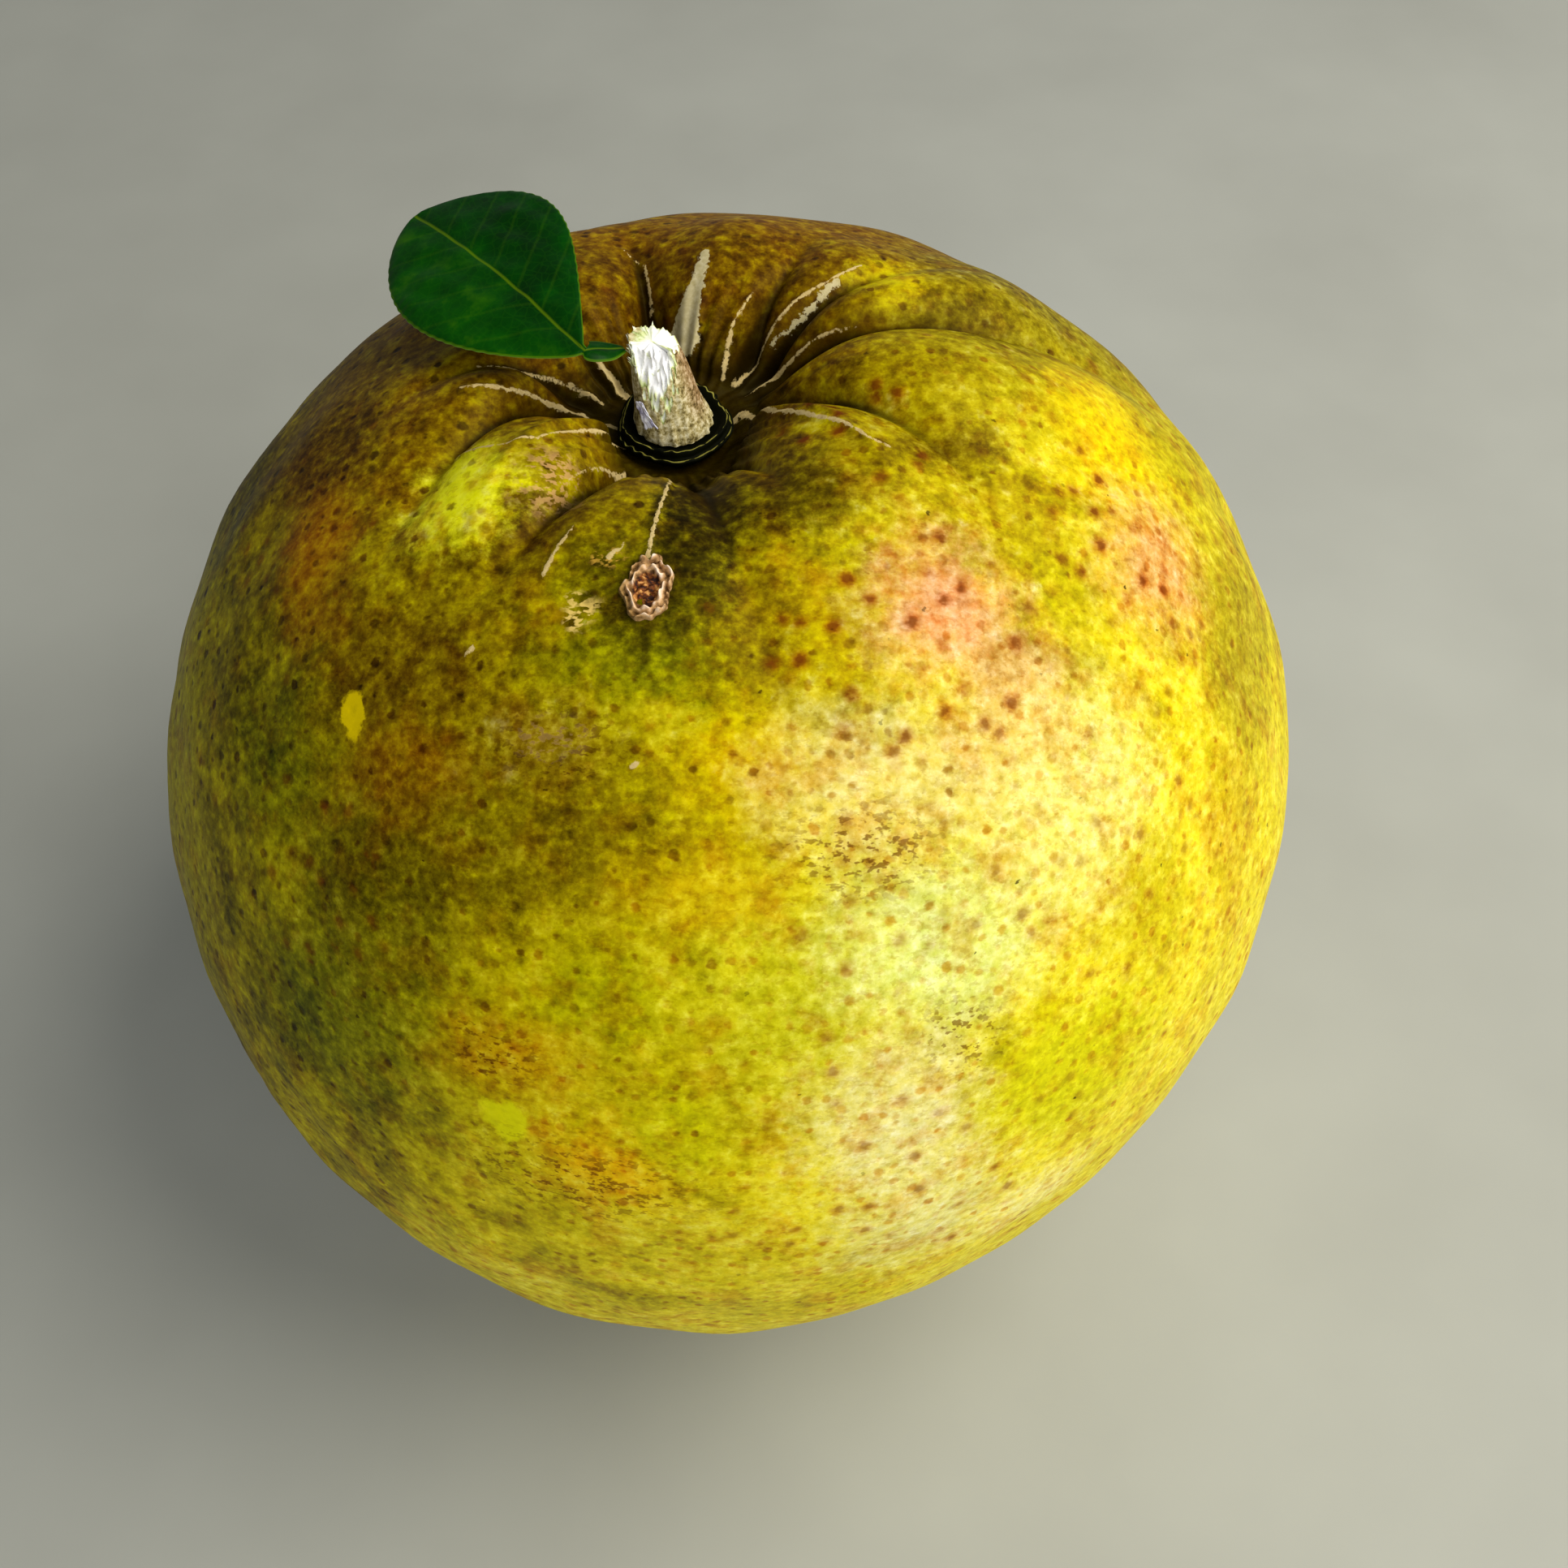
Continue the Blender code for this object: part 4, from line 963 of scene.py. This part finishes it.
# Cut wood in bark: matt, whitish where the wood is bare, brightened deeper in the cut to a pure white
# painted highlight, and speckled tan bark, rusty on the right
wood, add, shader, place = new_material("fresh_cut_wood_in_bark")
cut, rusty = [add("Attribute", attribute_name=fact).outputs["Fac"] for fact in ("cut_depth", "rusty")]
stretched = add("VectorMath", (place, (1.0, 1.0, 0.4)), operation="MULTIPLY")
speckle = add("TexNoise", (place, 1.0 / (BARK_SPECKLE * MM), 4.0, 0.7))
fibres = add("TexNoise", (stretched, 1.0 / (WOOD_FIBRE * MM), 3.0))
bark = add("ValToRGB", (speckle,), stops=((0.36, "#5a4c1c"), (0.48, "#b0a064"), (0.62, "#e6dcb0")))
rust = add("ValToRGB", (speckle,), stops=((0.36, "#3c2208"), (0.50, "#84542c"), (0.64, "#b89068")))
bark = add("Mix", (rusty, bark, rust), **COLOUR)
bared = add("Math", (fibres, 0.9, cut), operation="MULTIPLY_ADD")
bared = add("Math", (bared, 0.40), operation="SUBTRACT")
# The palest stops, up to pure white, are a painted highlight on the bare cut face
wood_and_highlight_stops = ((0.04, "#84943c"), (0.18, "#dce6a0"), (0.34, "#f6f9e0"), (0.65, "#fffffc"))
pale = add("ValToRGB", (bared,), stops=wood_and_highlight_stops)
shown = add("MapRange", (cut, 0.02, 0.14), **SOFT)
colour = add("Mix", (shown, bark, pale), **COLOUR)
bump = add("Bump", {"Height": speckle, "Strength": 0.4, "Distance": BARK_ROUGHNESS * MM})
set_inputs(shader, {"Base Color": colour, "Normal": bump, "Roughness": 0.75, "Specular IOR Level": 0.3})
stem_facts = {"cut_depth": cut_fact, "rusty": rust_fact}
stem = add_piece("stem_stub", stem_points, stem_faces, wood, stem_facts, sharp=50.0)
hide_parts("stem")

# Loose flake: a curl of the bark's silvery outer skin, dry and thin. It has lifted a little and hangs on
# the front left of the stem.
FLAKE_HALF_LENGTH = 1.55
FLAKE_HALF_WIDTH = 0.75
FLAKE_THICKNESS = 0.12
FLAKE_LIFT = 0.25
FLAKE_CURL = 0.12
FLAKE_SIDE = math.radians(-128.0)
FLAKE_HEIGHT = 3.6
FLAKE_SLANT = math.radians(28.0)
FLAKE_GRID = 24
FLAKE_MARK = 0.9


def sheet_faces(rows, columns):
    """Faces of a thin closed sheet: a grid of points for its upper face, then the same for its lower."""
    under = rows * columns
    faces = []
    for a in (i * columns + k for i in range(rows - 1) for k in range(columns - 1)):
        b = a + columns
        faces += [(a, a + 1, b + 1, b), (under + a, under + b, under + b + 1, under + a + 1)]
    right, bottom = columns - 1, under - columns
    edge = [(i * columns, (i + 1) * columns) for i in range(rows - 1)]
    edge += [(right + low, right + high) for high, low in edge]
    edge += [(k + 1, k) for k in range(right)]
    edge += [(bottom + k, bottom + k + 1) for k in range(right)]
    return faces + [(here, there, under + there, under + here) for here, there in edge]


u, v = np.meshgrid(np.linspace(-1.0, 1.0, FLAKE_GRID), np.linspace(-1.0, 1.0, FLAKE_GRID), indexing="xy")
wander = ripples(np.stack([u * 2.0, v * 3.0, 0.0 * u], -1), 1.3, seed=41)
beside = u * FLAKE_HALF_WIDTH * (1.0 + 0.12 * wander)
along = v * FLAKE_HALF_LENGTH * (1.0 + 0.06 * wander)
slid = beside * math.cos(FLAKE_SLANT) - along * math.sin(FLAKE_SLANT)
round_stem = FLAKE_SIDE + slid / STEM_BASE_RADIUS
up = FLAKE_HEIGHT + beside * math.sin(FLAKE_SLANT) + along * math.cos(FLAKE_SLANT)
lift = STEM_BASE_RADIUS + (STEM_TOP_RADIUS - STEM_BASE_RADIUS) * up / STEM_HEIGHT
lift = lift + FLAKE_LIFT + FLAKE_CURL * u * u + 0.05 * wander
flake_points = []
for thick in (FLAKE_THICKNESS, 0.0):
    sheet = around(round_stem, lift + thick) + stem_base + up[..., None] / STEM_HEIGHT * stem_run
    flake_points.append(sheet.reshape(-1, 3))
flake_faces = sheet_faces(FLAKE_GRID, FLAKE_GRID)

# Silvery bark skin: dry, pale and faintly lilac, with grey specks
silver, add, shader, place = new_material("silvery_bark_skin")
mark = add("TexNoise", (place, 1.0 / (FLAKE_MARK * MM), 3.0))
colour = add("ValToRGB", (mark,), stops=((0.38, "#b0acc4"), (0.46, "#e0def0"), (0.60, "#fcfcff")))
set_inputs(shader, {"Base Color": colour, "Roughness": 0.5})
add_piece("bark_flake", np.concatenate(flake_points), flake_faces, silver)

# Leaf: one blunt blade on a winged stalk, grown from the upper left of the stem. It is thin and waxy,
# dark green above, with a yellow midrib.
LEAF_THICKNESS = 0.4
# Where the stalk leaves the stem, where it meets the blade, and the blade's end, from the calyx's foot
LEAF_ROOT = np.array([-5.4, 0.5, 12.2])
LEAF_NECK = np.array([-9.6, -2.0, 13.9])
LEAF_TIP = np.array([-31.0, 23.0, 13.6])
NEAR_HALF_WIDTH = 10.7
FAR_HALF_WIDTH = 11.6
BLADE_ARCH = 1.4
BLADE_RISE = 1.2
WING_HALF_WIDTH = 1.9
NECK_HALF_WIDTH = 0.5
LEAF_TILT = math.radians(12.0)
STALK_STATIONS = 24
BLADE_STATIONS = 160
LEAF_COLUMNS = 64
TOOTH_DEPTH = 0.05
TOOTH_COUNT = 26
# Side veins: how far apart they leave the midrib, how they slant and curve towards the tip, how far those
# of one side are set off from the other's, and the grooves that they make
VEIN_SPACING = 4.6
VEIN_SLANT = 0.62
VEIN_CURVE = 0.010
VEIN_OFFSET = 1.4
VEIN_DEPTH = 0.02
VEIN_WIDTH = 0.22
RIB_DEPTH = 0.10
RIB_WIDTH = 0.35
LEAF_PUCKER = 0.10
LEAF_GRAIN = 0.2
# Clouds of colour on the blade, and the meshes of its finest veins, about 1 mm wide as on a real leaf
LEAF_CLOUD = 5.0
LEAF_NET = 1.1


def blade_half_width(t, widest, middle, roundness):
    """Half width of one side of the blade along its midrib, with fine blunt teeth."""
    outline = np.maximum(np.sin(math.pi * t ** (math.log(0.5) / math.log(middle))), 0.0) ** roundness
    teeth = TOOTH_DEPTH * np.sin(2.0 * math.pi * TOOTH_COUNT * t) * np.minimum(1.0, 6.0 * (1.0 - t))
    return np.maximum(NECK_HALF_WIDTH, widest * outline + teeth * smooth_step(0.1, 0.3, t))


stalk_t = np.arange(STALK_STATIONS) / STALK_STATIONS
blade_t = np.minimum(np.arange(BLADE_STATIONS + 1) / BLADE_STATIONS, 0.999)
wing = NECK_HALF_WIDTH + (WING_HALF_WIDTH - NECK_HALF_WIDTH) * np.sin(math.pi * stalk_t**1.5) ** 0.6
near_half = np.concatenate([wing, blade_half_width(blade_t, NEAR_HALF_WIDTH, 0.56, 0.57)])
far_half = np.concatenate([wing, blade_half_width(blade_t, FAR_HALF_WIDTH, 0.66, 0.60)])
stalk_run = LEAF_NECK - LEAF_ROOT
blade_run = LEAF_TIP - LEAF_NECK
middle = np.concatenate([LEAF_ROOT + stalk_t[:, None] * stalk_run, LEAF_NECK + blade_t[:, None] * blade_run])
middle[STALK_STATIONS:, 2] += BLADE_RISE * np.sin(math.pi * blade_t)
stalk_side, blade_side = [
    np.array([run[1], -run[0], 0.0]) / math.hypot(run[0], run[1]) for run in (stalk_run, blade_run)
]
# The blade's twist comes in softly over the end of the stalk and the start of the blade
bend = smooth_step(-0.375, 0.25, np.concatenate([stalk_t - 1.0, blade_t * 3.75]))[:, None]
side = stalk_side + bend * (blade_side - stalk_side)
side = side / np.linalg.norm(side, axis=-1, keepdims=True)
u = np.linspace(-1.0, 1.0, LEAF_COLUMNS + 1)
across = np.where(u[None] > 0.0, far_half[:, None], near_half[:, None]) * u[None]
arch = BLADE_ARCH * np.minimum(1.0, far_half / FAR_HALF_WIDTH)[:, None] * (np.abs(u) - 1.6 * u * u)[None]
drop = arch + across * math.tan(LEAF_TILT) * bend
leaf_mid = calyx_centre + middle[:, None] + side[:, None] * across[..., None]
leaf_mid[..., 2] += drop
along = [(stalk_t - 1.0) * np.linalg.norm(stalk_run), blade_t * np.linalg.norm(blade_run)]
along = np.concatenate(along)[:, None] + 0.0 * across
out_gap = np.abs(across)
lines = along - VEIN_SLANT * out_gap - VEIN_CURVE * out_gap**2 + VEIN_OFFSET * (across > 0.0)
lines = lines / VEIN_SPACING
vein_gap = np.abs(lines - np.round(lines)) * VEIN_SPACING * 0.8
vein_gap = np.where(along > 1.0, vein_gap, 5.0)
edge_gap = np.where(across > 0.0, far_half[:, None], near_half[:, None]) - out_gap
groove = RIB_DEPTH * bell(out_gap / RIB_WIDTH) + VEIN_DEPTH * bell(vein_gap / VEIN_WIDTH)
pucker = LEAF_PUCKER * ripples(np.stack([along, across, 0.0 * along], -1), 5.0, seed=21)
pucker = pucker * smooth_step(0.0, 1.5, edge_gap)
top = leaf_mid.copy()
thick = LEAF_THICKNESS * (0.4 + 0.6 * smooth_step(0.0, 0.6, edge_gap))
top[..., 2] += thick / 2.0 - groove + pucker
below = leaf_mid.copy()
below[..., 2] += pucker - thick / 2.0 - 1.6 * groove
leaf_points = np.concatenate([top.reshape(-1, 3), below.reshape(-1, 3)])
stations, columns = leaf_mid.shape[:2]
leaf_faces = sheet_faces(stations, columns)

# Waxy leaf blade: dark green and glossy, with faint veins, a yellow midrib and a paler underside
blade, add, shader, place = new_material("waxy_leaf_blade")
vein, rib, margin, near_share, upper_side = [
    add("Attribute", attribute_name=fact).outputs["Fac"]
    for fact in ("vein_gap", "rib_gap", "edge_gap", "near_side", "upper_side")
]
cloud = add("TexNoise", (place, 1.0 / (LEAF_CLOUD * MM), 4.0, 0.6))
net = add("TexVoronoi", {"Vector": place, "Scale": 1.0 / (LEAF_NET * MM)}, feature="DISTANCE_TO_EDGE")
green = add("ValToRGB", (cloud,), stops=((0.35, "#002400"), (0.55, "#003200"), (0.75, "#004000")))
olive = add("ValToRGB", (cloud,), stops=((0.35, "#003000"), (0.55, "#064200"), (0.72, "#2c5c00")))
colour = add("Mix", (near_share, green, olive), **COLOUR)
# Net of fine veins, side veins, midrib and margin: where each starts and is full, its share and colour
for gap, start, full, most, line, ends in (
    (net.outputs["Distance"], 0.10, 0.0, 0.12, "#205c00", {}),
    (vein, 0.30, 0.0, 0.08, "#4a7a00", SOFT),
    (rib, 0.26, 0.04, 0.5, "#5f7c00", SOFT),
    (margin, 0.24, 0.02, 0.35, "#6c9a08", SOFT),
):
    shown = add("MapRange", (gap, start, full, 0.0, most), **ends)
    colour = add("Mix", (shown, colour, line), **COLOUR)
colour = add("Mix", (upper_side, "#6a8a30", colour), **COLOUR)
bump = add("Bump", {"Height": cloud, "Strength": 0.2, "Distance": LEAF_GRAIN * MM})
set_inputs(shader, {"Base Color": colour, "Normal": bump, "Roughness": 0.38, "Specular IOR Level": 0.07})
near_side = smooth_step(0.25, -0.7, across / NEAR_HALF_WIDTH)
leaf_facts = {"vein_gap": vein_gap, "rib_gap": out_gap, "edge_gap": edge_gap, "near_side": near_side}
leaf_facts = {fact: np.tile(values.ravel(), 2) for fact, values in leaf_facts.items()}
leaf_facts["upper_side"] = np.repeat([1.0, 0.0], stations * columns)
leaf = add_piece("leaf_blade", leaf_points, leaf_faces, blade, leaf_facts, sharp=60.0)
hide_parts("leaf")
